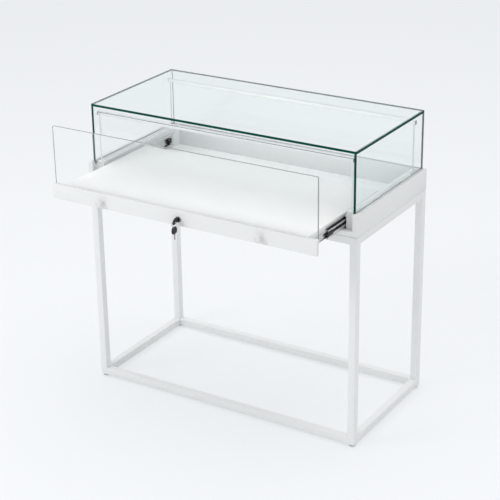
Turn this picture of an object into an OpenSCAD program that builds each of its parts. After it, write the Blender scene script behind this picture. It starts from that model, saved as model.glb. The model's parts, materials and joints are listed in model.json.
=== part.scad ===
// Conservation display case: a tube stand, a shallow sheet-steel body, a glass hood with two light
// bars, and a lockable drawer that carries the display deck and the front glass.
// Sizes are in millimetres. Z is up, X runs to the right, and the front faces -Y.

/* [Stand] */
// Width of the whole case
case_w = 1000; // [800:10:1400]
// Depth of the whole case
case_d = 482; // [470:1:700]
// Height of the tube stand
stand_h = 715; // [400:5:1000]
// Side of the square tube
tube = 25; // [20:1:40]
// Wall of the square tube
tube_wall = 1.5; // [1:0.5:3]
// Gap between the floor and the tubes
foot_gap = 8; // [6:0.5:20]
// Diameter of a levelling foot's pad
foot_pad_d = 20; // [14:1:24]
// Thickness of a levelling foot's pad
foot_pad_t = 5; // [3:0.5:6]
// Thread diameter of a levelling foot
foot_stem_d = 8; // [6:1:10]
// Height of the threaded insert in a leg
insert_h = 15; // [10:1:25]
// Length of thread above the insert
foot_thread_spare = 6; // [2:1:20]

/* [Body] */
// Height of the steel body
body_h = 73; // [72:1:100]
// Thickness of the folded sheet
sheet = 1.5; // [1:0.1:2]
// Width of a side box
side_box_w = 47.3; // [46:0.1:70]
// Thickness of the back box
back_box_t = 18; // [17:0.5:40]
// Width of the front corners beside the fascia
corner_w = 17; // [16:0.5:18]
// Height of the rail under the fascia
front_rail_h = 16.5; // [10:0.5:16.5]
// Depth of the rail under the fascia
front_rail_d = 17.5; // [12:0.5:17.5]
// Half the width of the lock's keeper on that rail
keeper_half_w = 35; // [32:1:60]
// Thickness of the dust seals
seal_t = 0.8; // [0.4:0.1:1.5]

/* [Hood] */
// Height of the glass above the body
hood_h = 196; // [150:1:400]
// Thickness of the hood's glass
hood_glass = 8; // [6:1:8]
// Rim of the body outside the side panes
rim_side = 12.4; // [12:0.1:14]
// Rim of the body in front of the side panes
rim_front = 12.9; // [10:0.1:15]
// Rim of the body behind the back pane
rim_back = 6; // [5:0.5:7]
// Depth of the glass in its groove
glass_foot = 8; // [4:1:12]
// Thickness of the gasket round the glass
gasket_t = 1; // [0.5:0.1:1]

/* [Lights] */
// Height of a light bar's section
bar_h = 12; // [11:1:20]
// Depth of a light bar's section
bar_d = 10; // [9:1:14]
// Wall of a light bar's section
bar_wall = 1; // [0.8:0.1:1.5]
// Distance from the top of the hood to a light bar
bar_drop = 26.5; // [12:0.5:60]
// Length of a light bar past its posts
bar_over = 5; // [4:0.5:8]
// Thickness of a light bar's end cap
end_cap_t = 2; // [1:0.5:3]
// Distance from the end of the case to the posts
post_side = 34; // [33:0.5:35]
// Distance from the front of the body to the front posts
post_front = 28; // [27:0.5:60]
// Distance from the back of the body to the back posts
post_back = 45; // [40:0.5:90]
// Diameter of a post
post_d = 5; // [5:0.5:6]
// Bore of a post
post_bore = 3.2; // [3:0.1:3.6]
// Width of a post's foot plate
plate_w = 12; // [9:1:12]
// Length of a post's foot plate
plate_l = 30; // [26:1:40]
// Thickness of a post's foot plate
plate_t = 2; // [1:0.5:4]
// Thickness of the opal diffuser
diffuser_t = 2; // [1:0.5:3]
// Width of the LED strip
strip_w = 8; // [5:1:8]
// Thickness of the LED strip
strip_t = 1; // [0.5:0.1:1.5]
// Diameter of a lamp lead
lead_d = 2.4; // [1.5:0.1:2.6]
// Length, width and height of the LED driver
driver_size = [30, 120, 22];
// Diameter of the DC inlet's body
inlet_d = 11; // [9:0.5:14]
// Diameter of the DC inlet's nose
inlet_nose_d = 8; // [7:0.5:9]
// Bore of the DC inlet
inlet_bore = 5.5; // [5:0.1:6]
// Depth of the DC inlet's bore
inlet_depth = 9; // [6:0.5:10]
// Length of the DC inlet's body
inlet_l = 12; // [11:0.5:16]
// Diameter of the DC inlet's centre pin
inlet_pin_d = 2; // [1.5:0.1:2.5]
// Height of the DC inlet above the body's base
inlet_up = 30; // [12:1:50]

/* [Drawer] */
// How far the drawer stands open
open_now = 215; // [0:5:380]
// Width of the gap between the fascia and a front corner
fascia_gap = 1; // [0.5:0.1:3]
// Gap between the fascia and the rail below it
fascia_lift = 1.5; // [0.8:0.1:3]
// Height of the fascia
fascia_h = 50; // [46:1:52]
// Thickness of the fascia
fascia_t = 12; // [11:0.5:12.5]
// Thickness of the deck board
deck_t = 8; // [4:0.5:10]
// Distance from the top of the body down to the deck
deck_drop = 8; // [4:0.5:12]
// How far the deck board stands past the drawer frame
deck_over = 1.5; // [0:0.1:1.8]
// Gap between the closed deck and the back box
deck_gap = 4; // [2:0.5:20]
// Height of the drawer frame
frame_h = 38; // [36:1:38]
// Width of the flange under the deck board
frame_flange = 20; // [10:1:40]
// Width of the flange at the bottom of the frame's sides
frame_foot = 12; // [6:1:25]
// Thickness of the front glass
front_glass_t = 6; // [5:1:6]
// Tape between the fascia and the front glass
tape_t = 0.4; // [0.2:0.1:0.6]
// Gap between the front glass and a side pane
front_glass_side_gap = 1.6; // [1:0.1:4]
// Gap between the front glass and the top pane
front_glass_top_gap = 3.5; // [1:0.1:8]
// Depth of the front glass below the deck
front_glass_foot = 7; // [4:0.5:9]
// Radius of the front glass's upper corners
front_glass_r = 3; // [1:0.5:12]
// Packing under the front glass
setting_t = 1; // [0.5:0.1:2]
// Packing behind the front glass
packing_t = 0.6; // [0.3:0.1:1]
// Thickness of the lip behind the front glass
lip_t = 2; // [1.5:0.1:3]
// Wall of the glass rail
glass_rail_wall = 2; // [1.5:0.1:2.5]
// Distance of the knobs from the middle
knob_x = 290; // [150:5:340]
// Diameter of a knob
knob_d = 25; // [18:1:34]
// Length of a knob
knob_l = 21; // [16:1:30]
// Diameter of a knob's neck
knob_neck_d = 13; // [9:1:16]
// Length of a knob's neck
knob_neck_l = 8; // [4:1:10]
// Edge radius of a knob's head
knob_r = 4; // [1:0.5:5]
// Height of the knobs and lock above the fascia's lower edge
lock_up = 21; // [20:0.5:24]

/* [Slides] */
// Length of a slide
slide_l = 400; // [380:5:420]
// Height of a slide
slide_h = 45; // [45:0.5:46]
// Thickness of a slide
slide_t = 12.7; // [12.7:0.1:13]
// Height of a slide's middle above the body's base
slide_up = 35; // [35:0.1:35.5]
// Distance from the front of the body to a slide
slide_front = 20; // [20:0.5:26]
// Thickness of a slide member's steel
member_t = 1.2; // [1:0.1:1.2]
// Diameter of a slide's balls
ball_d = 4.6; // [4.4:0.1:4.6]
// Play between a ball and its tracks
ball_play = 0.1; // [0.05:0.01:0.1]
// Number of balls in a row
ball_count = 6; // [3:1:9]
// Spacing of the balls
ball_pitch = 18; // [10:1:19]
// Length of the plastic stop on a middle member
stop_l = 32; // [10:1:60]
// Length of the rubber bumper in an outer member
bumper_l = 19; // [12:1:24]
// Height of that bumper
bumper_h = 16; // [10:1:18]
// Distance from a bumper to the outer member's rear end
bumper_inset = 20; // [2:1:24]

/* [Lock and keys] */
// Diameter of the lock's bezel
bezel_d = 19; // [18:0.5:24]
// Thickness of the lock's bezel
bezel_t = 3; // [1:0.5:4]
// Diameter of the lock's barrel
barrel_d = 16; // [15:0.5:17]
// Diameter of the lock's plug
plug_d = 10; // [9.5:0.1:12]
// Length of the cam from the plug's axis
cam_l = 30; // [28:0.5:31]
// Width of the cam
cam_w = 14; // [10:1:16]
// Thickness of the cam
cam_t = 2; // [1.5:0.5:3]
// Lean of the key in the lock
key_lean = 20; // [0:1:25]
// Width of a key's bow
bow_w = 26; // [20:1:26]
// Length of a key's bow
bow_l = 23; // [20:1:28]
// Thickness of a key's bow
bow_t = 5; // [3:0.5:5]
// Corner radius of a key's bow
bow_r = 9; // [4:0.5:9.5]
// Length of a key's neck
neck_l = 2; // [1:0.5:4]
// Length of a key's blade
blade_l = 18; // [12:1:22]
// Width of a key's blade
blade_w = 7; // [5:0.5:7.5]
// Thickness of a key's blade
blade_t = 2; // [1.5:0.1:2.2]
// Diameter of the hole in a key's bow
bow_hole_d = 6.4; // [6:0.1:7]
// Diameter of the key ring at the middle of its wire
ring_d = 20; // [19:0.5:26]
// Diameter of the key ring's wire
ring_wire = 1.6; // [1:0.1:1.8]

/* [Hidden] */
$fn = 48;

white = [0.93, 0.94, 0.94];
zinc = [0.72, 0.74, 0.76];
black = [0.07, 0.07, 0.08];
clear_glass = [0.80, 0.92, 0.88, 0.35];
left = -1;
right = 1;
front = -1;
back = 1;
// How far a cut runs past the face that it opens
past = 1;
// Gap between a stationary thread or shank and its hole
hole_play = 0.2;
// Gap between a turning part and its bore
turn_play = 0.06;
// The folded members of the drawer and the rolled ones of the slides are flat strips, this far apart at
// their bends
seam = 0.1;

// Levels
stand_top = foot_gap + stand_h;
floor_top = stand_top + sheet;
body_top = stand_top + body_h;
hood_top = body_top + hood_h;
half_w = case_w / 2;
leg_x = half_w - tube / 2;
foot_stem_r = foot_stem_d / 2 - turn_play;

// Side boxes, in plan
wall_x = half_w - side_box_w;
corner_x = half_w - corner_w;
seal_play = 0.3;
seal_inset = 3;
rebate_d = fascia_t + tape_t + front_glass_t + seal_play + seal_t;
back_wall_y = case_d - back_box_t;

// Hood panes, in plan
pane_x = half_w - rim_side;
pane_in_x = pane_x - hood_glass;
pane_y = rim_front;
pane_back_y = case_d - rim_back;
pane_back_in_y = pane_back_y - hood_glass;
pane_bottom = body_top - glass_foot;
groove_bottom = pane_bottom - gasket_t;

// Drawer when closed: y is measured from the front of the body
fascia_z = stand_top + front_rail_h + fascia_lift;
fascia_half_w = corner_x - fascia_gap;
deck_top = body_top - deck_drop;
deck_z = deck_top - deck_t;
frame_x = wall_x - slide_t;
frame_z = deck_z - frame_h;
front_glass_y = fascia_t + tape_t;
packing_y = front_glass_y + front_glass_t;
lip_y = packing_y + packing_t;
frame_y = lip_y + lip_t;
deck_back_y = back_wall_y - deck_gap;
deck_over_back = 1;
frame_back_y = deck_back_y - deck_over_back;
front_glass_z = deck_top - front_glass_foot;
front_glass_top = hood_top - hood_glass - front_glass_top_gap;
front_glass_half_w = pane_in_x - front_glass_side_gap;
glass_rail_top = front_glass_z - setting_t;
glass_rail_z = fascia_z + 7;
lock_z = fascia_z + lock_up;

// Fasteners of the drawer
fascia_screw_x = [for (k = [-2.5:1:2.5]) k * frame_x / 2.75];
screw_r = 2;
screw_head_r = 3.6;
screw_head_t = 2.4;
knob_screw_l = 10;
knob_access_r = 6.5;

// Light bars
post_x = half_w - post_side;
post_y = [post_front, case_d - post_back];
bar_top = hood_top - bar_drop;
bar_z = bar_top - bar_h;
bar_half_l = post_x + bar_over;
bar_web = 1.5;
diffuser_recess = 0.5;
post_bottom = body_top - 8;
plate_end = 6;
plate_screw_y = 17;
plate_screw_r = 1.5;
plate_screw_head_r = 2.8;
plate_screw_head_t = 1.8;
plate_screw_l = 8;

// Electrical parts in the left side box
box_middle_x = half_w - (side_box_w / 2);
driver_y = case_d / 2;
lead_z = floor_top + driver_size[2] / 2;
lead_r = lead_d / 2;

// Stand bolts
bolt_r = 3;
bolt_head_r = 5;
bolt_head_t = 4;
bolt_l = 12;
bolt_nut_r = 5.5;
bolt_nut_t = 5;
bolt_inset = 30;
// The middle bolt stands behind the LED driver
bolt_past_middle = 100;
bolt_y = [tube + bolt_inset, case_d / 2 + bolt_past_middle, case_d - tube - bolt_inset];

// Slides: u runs from the body's wall to the drawer, v up from the slide's middle
slide_z = stand_top + slide_up;
outer_half = slide_h / 2;
track = ball_d + 2 * ball_play;
middle_half = outer_half - member_t - track;
inner_half = middle_half - member_t - track;
outer_lip_u = 10.4;
middle_u = [2.2, 11.4];
middle_web_u = [3.8, 3.8 + member_t];
inner_u = [6.0, slide_t];
cage_t = 0.4;
cage_shelf_t = 1;
outer_cage_u = [1.5, 9.5];
inner_cage_u = [5.3, 10.9];
outer_ball_u = 6.4;
inner_ball_u = 8.6;
ball_hole_play = 0.15;
cage_end = 10;
cage_l = (ball_count - 1) * ball_pitch + 2 * cage_end;
// A cage has to stay between its two members over the whole travel
cage_start = slide_front + slide_l / 4 + cage_end;
stop_end_t = 3;
stop_half = slide_up - front_rail_h - 0.3;
stop_passage = 0.5;

// The bumpers end the middle and inner members' way in, so these are shorter than the outer members
bumper_y = slide_front + slide_l - bumper_inset - bumper_l;
bumper_u = [member_t, outer_cage_u[1]];
bumper_base_t = 1;
bumper_foot_u = [member_t, middle_web_u[0]];
bumper_foot_v = [-16, -11];
bumper_foot_l = 19;
bumper_gap = 0.5;
inner_end_y = bumper_y - bumper_gap;
middle_end_y = bumper_y - bumper_foot_l - bumper_gap;

slide_screw_r = 2;
slide_screw_head_r = 3.4;
slide_screw_l = 9;
slide_screw_inset = [70, 30];
slide_screw_y = [for (k = [0:3])
    slide_front + slide_screw_inset[0] + k * (inner_end_y - slide_front - slide_screw_inset[0] - slide_screw_inset[1]) / 3];
slide_nut_r = 3.6;
slide_nut_t = 2.5;

// Shares of the drawer's travel that the slide's pieces make
middle_share = 0.5;
outer_cage_share = 0.25;
inner_cage_share = 0.75;

// Lock
barrel_end_y = frame_y + sheet + 4;
nut_t = 3;
nut_r = 12.5;
cam_y = barrel_end_y + 0.5;
plug_front_y = -bezel_t;
square_shank = 6;
cam_screw_r = 2;
cam_screw_head_r = 4;
cam_screw_head_t = 2;
keyway_t = blade_t + 0.6;
keyway_w = blade_w + 0.6;
keeper_y = cam_y - 1.5;

// Keys: distances along the key are measured outwards from the plug's face
bow_hole_edge = 5.5;
hole_out = neck_l + bow_l - bow_hole_edge;
ring_seat = 0.3;
ring_r = ring_d / 2;
ring_y = plug_front_y - hole_out;
ring_top_z = lock_z - ring_slack(key_lean);
ring_z = ring_top_z - ring_r;
spare_hole_z = ring_z - ring_r - ring_slack(0);

// Distance from the middle of a bow's hole to the wire that bears on the edge of that hole, where the
// bow leans in the ring's plane
function ring_slack(lean) =
    let (edge_x = bow_t / 2 * cos(lean) + bow_hole_d / 2 * sin(lean))
    let (edge_z = bow_t / 2 * sin(lean) - bow_hole_d / 2 * cos(lean))
    let (inner_r = ring_r - ring_wire / 2 - ring_seat)
    sqrt(inner_r * inner_r - edge_x * edge_x) - ring_r - edge_z;

// The origin is under the middle of the whole object, as it stands open
front_reach = max(knob_l, -ring_y + bow_w / 2, -plug_front_y + neck_l + bow_l);
origin_y = (case_d - open_now - front_reach) / 2;

// Shared shapes

module in_frame() translate([0, -origin_y, 0]) children();

// Moves a piece by its share of the drawer's travel
module pulled(share = 1) in_frame() translate([0, -open_now * share, 0]) children();

module block(x, y, z) translate([x[0], y[0], z[0]]) cube([x[1] - x[0], y[1] - y[0], z[1] - z[0]]);

module plan(points, z) translate([0, 0, z[0]]) linear_extrude(z[1] - z[0]) polygon(points);

module mirrored(side) mirror([side == left ? 1 : 0, 0, 0]) children();

module both_sides() for (side = [left, right]) mirrored(side) children();

// A cylinder along Y from y[0] to y[1]
module rod_y(r, x, y, z) translate([x, y[0], z]) rotate([-90, 0, 0]) cylinder(r = r, h = y[1] - y[0]);

// A cylinder along X from x[0] to x[1]
module rod_x(r, x, y, z) translate([x[0], y, z]) rotate([0, 90, 0]) cylinder(r = r, h = x[1] - x[0]);

module rod_z(r, x, y, z) translate([x, y, z[0]]) cylinder(r = r, h = z[1] - z[0]);

module square_tube(length) {
    inner = tube - 2 * tube_wall;
    difference() {
        translate([-tube / 2, -tube / 2, 0]) cube([tube, tube, length]);
        translate([-inner / 2, -inner / 2, -past]) cube([inner, inner, length + 2 * past]);
    }
}

// A rectangle with round corners, about its own middle
module rounded(size, r) {
    square([size[0] - 2 * r, size[1]], center = true);
    square([size[0], size[1] - 2 * r], center = true);
    for (sx = [-1, 1], sy = [-1, 1])
        translate([sx * (size[0] / 2 - r), sy * (size[1] / 2 - r)]) circle(r);
}

// Stand

function end_y(end) = end == front ? tube / 2 : case_d - tube / 2;

module leg(side, end) color(white) in_frame()
    translate([side * leg_x, end_y(end), foot_gap]) square_tube(stand_h);

// A rail between two legs, at one end of the depth
module cross_rail(end, z) color(white) in_frame()
    translate([-half_w + tube, end_y(end), z + tube / 2]) rotate([0, 90, 0]) square_tube(case_w - 2 * tube);

// A rail between the front and back legs of one side
module side_rail(side, z, bolted = false) color(white) in_frame() difference() {
    translate([side * leg_x, tube, z + tube / 2]) rotate([-90, 0, 0]) square_tube(case_d - 2 * tube);
    if (bolted) bolt_holes(side);
}

module bolt_holes(side) for (y = bolt_y)
    rod_z(bolt_r + hole_play, side * leg_x, y, [stand_top - tube_wall - past, floor_top + past]);

module leg_front_left() leg(left, front);
module leg_front_right() leg(right, front);
module leg_back_left() leg(left, back);
module leg_back_right() leg(right, back);
module bottom_rail_front() cross_rail(front, foot_gap);
module bottom_rail_back() cross_rail(back, foot_gap);
module bottom_rail_left() side_rail(left, foot_gap);
module bottom_rail_right() side_rail(right, foot_gap);
module top_rail_front() cross_rail(front, stand_top - tube);
module top_rail_back() cross_rail(back, stand_top - tube);
module top_rail_left() side_rail(left, stand_top - tube, bolted = true);
module top_rail_right() side_rail(right, stand_top - tube, bolted = true);

module foot(side, end) color(black) in_frame() translate([side * leg_x, end_y(end), 0]) {
    cylinder(d = foot_pad_d, h = foot_pad_t);
    cylinder(r = foot_stem_r, h = foot_gap + insert_h + foot_thread_spare);
}

module foot_front_left() foot(left, front);
module foot_front_right() foot(right, front);
module foot_back_left() foot(left, back);
module foot_back_right() foot(right, back);

module foot_inserts() color(black) in_frame() {
    side_l = tube - 2 * tube_wall;
    for (side = [left, right], end = [front, back])
        translate([side * leg_x, end_y(end), foot_gap]) difference() {
            translate([-side_l / 2, -side_l / 2, 0]) cube([side_l, side_l, insert_h]);
            translate([0, 0, -past]) cylinder(d = foot_stem_d, h = insert_h + 2 * past);
        }
}

// Body

// The groove for the hood's glass, and with walls = sheet the folded channel round it
module groove(walls = 0) {
    z = [groove_bottom - walls, body_top + (walls > 0 ? 0 : past)];
    outer_x = pane_x + gasket_t + walls;
    inner_x = pane_in_x - gasket_t - walls;
    back_y = pane_back_y + gasket_t + walls;
    back_in_y = pane_back_in_y - gasket_t - walls;
    both_sides() {
        block([inner_x, outer_x], [rebate_d - (walls > 0 ? 0 : past), back_y], z);
        block([corner_x - (walls > 0 ? 0 : past), outer_x], [pane_y - gasket_t - walls, rebate_d + walls], z);
        block([0, outer_x], [back_in_y, back_y], z);
    }
}

module body_floor() color(white) in_frame() difference() {
    block([-half_w + sheet, half_w - sheet], [sheet, case_d - sheet], [stand_top, floor_top]);
    for (side = [left, right]) bolt_holes(side);
}

function side_plan(t) = [
    [wall_x + t, rebate_d + t], [corner_x + t, rebate_d + t], [corner_x + t, t],
    [half_w - t, t], [half_w - t, case_d - t], [wall_x + t, case_d - t],
];

// Space that the floor sheet takes under the folded walls
module floor_space() block([-half_w + sheet, half_w - sheet], [sheet, case_d - sheet],
    [stand_top - past, floor_top]);

module side_box() difference() {
    plan(side_plan(0), [stand_top, body_top]);
    difference() {
        plan(side_plan(sheet), [stand_top - past, body_top - sheet]);
        groove(sheet);
    }
    groove();
    floor_space();
    for (y = post_y) rod_z(post_d / 2 + hole_play / 2, post_x, y, [body_top - 3 * sheet, body_top + past]);
    for (k = [0, 1])
        rod_z(plate_screw_r + hole_play / 2, post_x, plate_screw_at(k), [body_top - 3 * sheet, body_top + past]);
    for (y = slide_screw_y)
        rod_x(slide_screw_r + hole_play / 2, [wall_x - past, wall_x + sheet + past], y, slide_z);
}

module body_side_right() color(white) in_frame() side_box();

module body_side_left() color(white) in_frame() difference() {
    mirrored(left) side_box();
    rod_y(inlet_nose_d / 2 + hole_play / 2, -box_middle_x, [case_d - 2 * sheet, case_d + past],
        stand_top + inlet_up);
}

module body_back() color(white) in_frame() difference() {
    block([-wall_x, wall_x], [back_wall_y, case_d], [stand_top, body_top]);
    difference() {
        block([-wall_x - past, wall_x + past], [back_wall_y + sheet, case_d - sheet],
            [stand_top - past, body_top - sheet]);
        groove(sheet);
    }
    groove();
    floor_space();
}

function front_rail_plan(t) = [
    [-corner_x + t, t], [corner_x - t, t], [corner_x - t, front_rail_d - t],
    [keeper_half_w - t, front_rail_d - t], [keeper_half_w - t, keeper_y - t],
    [-keeper_half_w + t, keeper_y - t], [-keeper_half_w + t, front_rail_d - t],
    [-corner_x + t, front_rail_d - t],
];

module body_front_rail() color(white) in_frame() difference() {
    plan(front_rail_plan(0), [stand_top, stand_top + front_rail_h]);
    plan(front_rail_plan(sheet), [stand_top - past, stand_top + front_rail_h - sheet]);
    floor_space();
}

// Gasket in the groove of the hood's glass
module hood_gasket() difference() {
    intersection() {
        groove();
        block([-half_w, half_w], [0, case_d], [groove_bottom, body_top]);
    }
    both_sides() block([0, corner_x], [0, rebate_d], [0, hood_top]);
    both_sides() block([pane_in_x, pane_x], [pane_y, pane_back_y], [pane_bottom, hood_top]);
    block([-pane_in_x, pane_in_x], [pane_back_in_y, pane_back_y], [pane_bottom, hood_top]);
}

// The gasket, and flat strips on the faces that the closed front glass meets
module body_seals() color("white") in_frame() {
    hood_gasket();
    both_sides() block([wall_x + seal_inset, pane_in_x - seal_inset], [rebate_d - seal_t, rebate_d],
        [stand_top + front_rail_h, body_top]);
}

function plate_screw_at(k) = post_y[k] + (k == 0 ? plate_screw_y : -plate_screw_y);

// A countersunk screw along X, its head's face at x and its shank running outwards
module slide_screw(x, y) translate([x, y, slide_z]) rotate([0, 90, 0]) {
    cylinder(r1 = slide_screw_head_r, r2 = slide_screw_r, h = member_t);
    cylinder(r = slide_screw_r, h = slide_screw_l);
}

module ring_nut(r, bore_r, h) difference() {
    cylinder(r = r, h = h, $fn = 6);
    translate([0, 0, -past]) cylinder(r = bore_r, h = h + 2 * past);
}

module body_fasteners() color(zinc) in_frame() both_sides() {
    for (y = bolt_y) {
        rod_z(bolt_head_r, leg_x, y, [floor_top, floor_top + bolt_head_t]);
        rod_z(bolt_r, leg_x, y, [floor_top - bolt_l, floor_top]);
        translate([leg_x, y, stand_top - tube_wall - bolt_nut_t])
            ring_nut(bolt_nut_r, bolt_r + turn_play, bolt_nut_t);
    }
    for (y = slide_screw_y) {
        slide_screw(wall_x - member_t, y);
        translate([wall_x + sheet, y, slide_z]) rotate([0, 90, 0])
            ring_nut(slide_nut_r, slide_screw_r + turn_play, slide_nut_t);
    }
    for (k = [0, 1]) {
        z = body_top + plate_t;
        rod_z(plate_screw_head_r, post_x, plate_screw_at(k), [z, z + plate_screw_head_t]);
        rod_z(plate_screw_r, post_x, plate_screw_at(k), [z - plate_screw_l, z]);
    }
}

// Glass hood

module glass_top() color(clear_glass) in_frame()
    block([-pane_x, pane_x], [pane_y, pane_back_y], [hood_top - hood_glass, hood_top]);

module side_pane(side) color(clear_glass) in_frame() mirrored(side)
    block([pane_in_x, pane_x], [pane_y, pane_back_y], [pane_bottom, hood_top - hood_glass]);

module glass_left() side_pane(left);
module glass_right() side_pane(right);

module glass_back() color(clear_glass) in_frame()
    block([-pane_in_x, pane_in_x], [pane_back_in_y, pane_back_y], [pane_bottom, hood_top - hood_glass]);

// Lights

// Turns a bar's section, whose mouth faces +Y, to face the middle of the hood
module at_bar(k) in_frame() translate([0, post_y[k], bar_z]) mirror([0, k, 0]) children();

// The channel is open towards the middle of the hood, and its lower flange lets the lead in
module light_bar(k) color("gainsboro") at_bar(k) difference() {
    block([-bar_half_l, bar_half_l], [-bar_d / 2, bar_d / 2], [0, bar_h]);
    block([-bar_half_l - past, bar_half_l + past], [-bar_d / 2 + bar_web, bar_d / 2 + past],
        [bar_wall, bar_h - bar_wall]);
    rod_z(post_bore / 2, -post_x, 0, [-past, bar_wall + past]);
}

module light_bar_front() light_bar(0);
module light_bar_back() light_bar(1);

module light_diffusers() color("white") for (k = [0, 1]) at_bar(k)
    block([-bar_half_l, bar_half_l], [bar_d / 2 - diffuser_recess - diffuser_t, bar_d / 2 - diffuser_recess],
        [bar_wall, bar_h - bar_wall]);

module led_strips() color("ivory") for (k = [0, 1]) at_bar(k)
    block([-bar_half_l + past, bar_half_l - past], [-bar_d / 2 + bar_web, -bar_d / 2 + bar_web + strip_t],
        [(bar_h - strip_w) / 2, (bar_h + strip_w) / 2]);

module light_end_caps() color("dimgray") for (k = [0, 1]) at_bar(k) both_sides()
    block([bar_half_l, bar_half_l + end_cap_t], [-bar_d / 2, bar_d / 2], [0, bar_h]);

// A post with its foot plate: the post runs down through the ledge
module light_posts() color("silver") in_frame() both_sides() for (k = [0, 1]) difference() {
    union() {
        rod_z(post_d / 2, post_x, post_y[k], [post_bottom, bar_z]);
        translate([0, post_y[k], 0]) mirror([0, k, 0])
            block([post_x - plate_w / 2, post_x + plate_w / 2], [-plate_end, plate_l - plate_end],
                [body_top, body_top + plate_t]);
    }
    rod_z(post_bore / 2, post_x, post_y[k], [post_bottom - past, bar_z + past]);
    rod_z(plate_screw_r + hole_play / 2, post_x, plate_screw_at(k), [body_top - past, body_top + plate_t + past]);
}

module led_driver() color("whitesmoke") in_frame()
    translate([-box_middle_x - driver_size[0] / 2, driver_y - driver_size[1] / 2, floor_top]) cube(driver_size);

// A lead from the driver to one left post, up through it and onto the LED strip
module post_lead(k) {
    y = post_y[k];
    driver_face = driver_y + (k == 0 ? -driver_size[1] / 2 : driver_size[1] / 2);
    run = k == 0 ? [y, driver_face] : [driver_face, y];
    turn_z = bar_z + bar_h / 2;
    strip_face = bar_d / 2 - bar_web - strip_t;
    rod_y(lead_r, -post_x, run, lead_z);
    translate([-post_x, y, lead_z]) sphere(lead_r);
    rod_z(lead_r, -post_x, y, [lead_z, turn_z]);
    translate([-post_x, y, turn_z]) sphere(lead_r);
    rod_y(lead_r, -post_x, k == 0 ? [y - strip_face, y] : [y, y + strip_face], turn_z);
}

// The supply lead runs beside the back post's lead, from the inlet to the driver
module supply_lead() {
    x = -box_middle_x;
    inlet_end = case_d - sheet - inlet_l;
    turn_y = inlet_end - 8;
    rod_y(lead_r, x, [turn_y, inlet_end], stand_top + inlet_up);
    translate([x, turn_y, stand_top + inlet_up]) sphere(lead_r);
    rod_z(lead_r, x, turn_y, [lead_z, stand_top + inlet_up]);
    translate([x, turn_y, lead_z]) sphere(lead_r);
    rod_y(lead_r, x, [driver_y + driver_size[1] / 2, turn_y], lead_z);
}

module lamp_leads() color("dimgray") in_frame() {
    post_lead(0);
    post_lead(1);
    supply_lead();
}

module dc_inlet() color(black) in_frame() {
    z = stand_top + inlet_up;
    difference() {
        union() {
            rod_y(inlet_d / 2, -box_middle_x, [case_d - sheet - inlet_l, case_d - sheet], z);
            rod_y(inlet_nose_d / 2, -box_middle_x, [case_d - sheet - past, case_d], z);
        }
        rod_y(inlet_bore / 2, -box_middle_x, [case_d - inlet_depth, case_d + past], z);
    }
    rod_y(inlet_pin_d / 2, -box_middle_x, [case_d - inlet_depth - past, case_d - 1], z);
}

// Drawer

module deck_board() color("white") pulled()
    block([-frame_x - deck_over, frame_x + deck_over], [frame_y, deck_back_y], [deck_z, deck_top]);

// Four folded members, each a wall with a flange at its top and, but for the front one, a foot. The side
// members run from end to end, with the front and the back between them
module drawer_frame() color(white) pulled() {
    y = [frame_y, frame_back_y];
    wall_z = [frame_z + sheet + seam, deck_z - sheet - seam];
    flange_z = [deck_z - sheet, deck_z];
    foot_z = [frame_z, frame_z + sheet];
    wall_x_end = frame_x - sheet - seam;
    flange_x_end = frame_x - frame_flange - seam;
    foot_x_end = frame_x - frame_foot - seam;
    both_sides() {
        difference() {
            block([frame_x - sheet, frame_x], y, wall_z);
            for (screw_y = slide_screw_y)
                rod_x(slide_screw_r + hole_play / 2, [frame_x - sheet - past, frame_x + past], screw_y, slide_z);
        }
        block([frame_x - frame_flange, frame_x], y, flange_z);
        block([frame_x - frame_foot, frame_x], y, foot_z);
    }
    difference() {
        block([-wall_x_end, wall_x_end], [y[0], y[0] + sheet], wall_z);
        rod_y(barrel_d / 2 + hole_play, 0, [y[0] - past, y[0] + sheet + past], lock_z);
        for (x = fascia_screw_x) rod_y(screw_r + hole_play, x, [y[0] - past, y[0] + sheet + past], lock_z);
    }
    block([-flange_x_end, flange_x_end], [y[0], y[0] + frame_flange], flange_z);
    block([-wall_x_end, wall_x_end], [y[1] - sheet, y[1]], wall_z);
    block([-flange_x_end, flange_x_end], [y[1] - frame_flange, y[1]], flange_z);
    block([-foot_x_end, foot_x_end], [y[1] - frame_foot, y[1]], foot_z);
}

// A folded box, drilled for the lock, the knobs and its own screws
module fascia() color(white) pulled() difference() {
    block([-fascia_half_w, fascia_half_w], [0, fascia_t], [fascia_z, fascia_z + fascia_h]);
    block([-fascia_half_w + sheet, fascia_half_w - sheet], [sheet, fascia_t - sheet],
        [fascia_z + sheet, fascia_z + fascia_h - sheet]);
    rod_y(barrel_d / 2 + hole_play, 0, [-past, fascia_t + past], lock_z);
    for (x = fascia_screw_x) rod_y(screw_r + turn_play, x, [fascia_t - sheet - past, fascia_t + past], lock_z);
    both_sides() {
        rod_y(screw_r + hole_play, knob_x, [-past, sheet + past], lock_z);
        rod_y(knob_access_r, knob_x, [fascia_t - sheet - past, fascia_t + past], lock_z);
    }
}

// An extruded rail between the fascia and the frame: its lip holds the front glass
module glass_rail() color(white) pulled() difference() {
    union() {
        block([-frame_x, frame_x], [fascia_t, frame_y], [glass_rail_z, glass_rail_top]);
        block([-frame_x, frame_x], [lip_y, frame_y], [glass_rail_z, deck_top]);
    }
    block([-frame_x - past, frame_x + past],
        [fascia_t + glass_rail_wall, frame_y - glass_rail_wall],
        [glass_rail_z + glass_rail_wall, glass_rail_top - glass_rail_wall]);
    rod_y(barrel_d / 2 + hole_play, 0, [fascia_t - past, frame_y + past], lock_z);
    for (x = fascia_screw_x) rod_y(screw_r + hole_play, x, [fascia_t - past, frame_y + past], lock_z);
}

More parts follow.
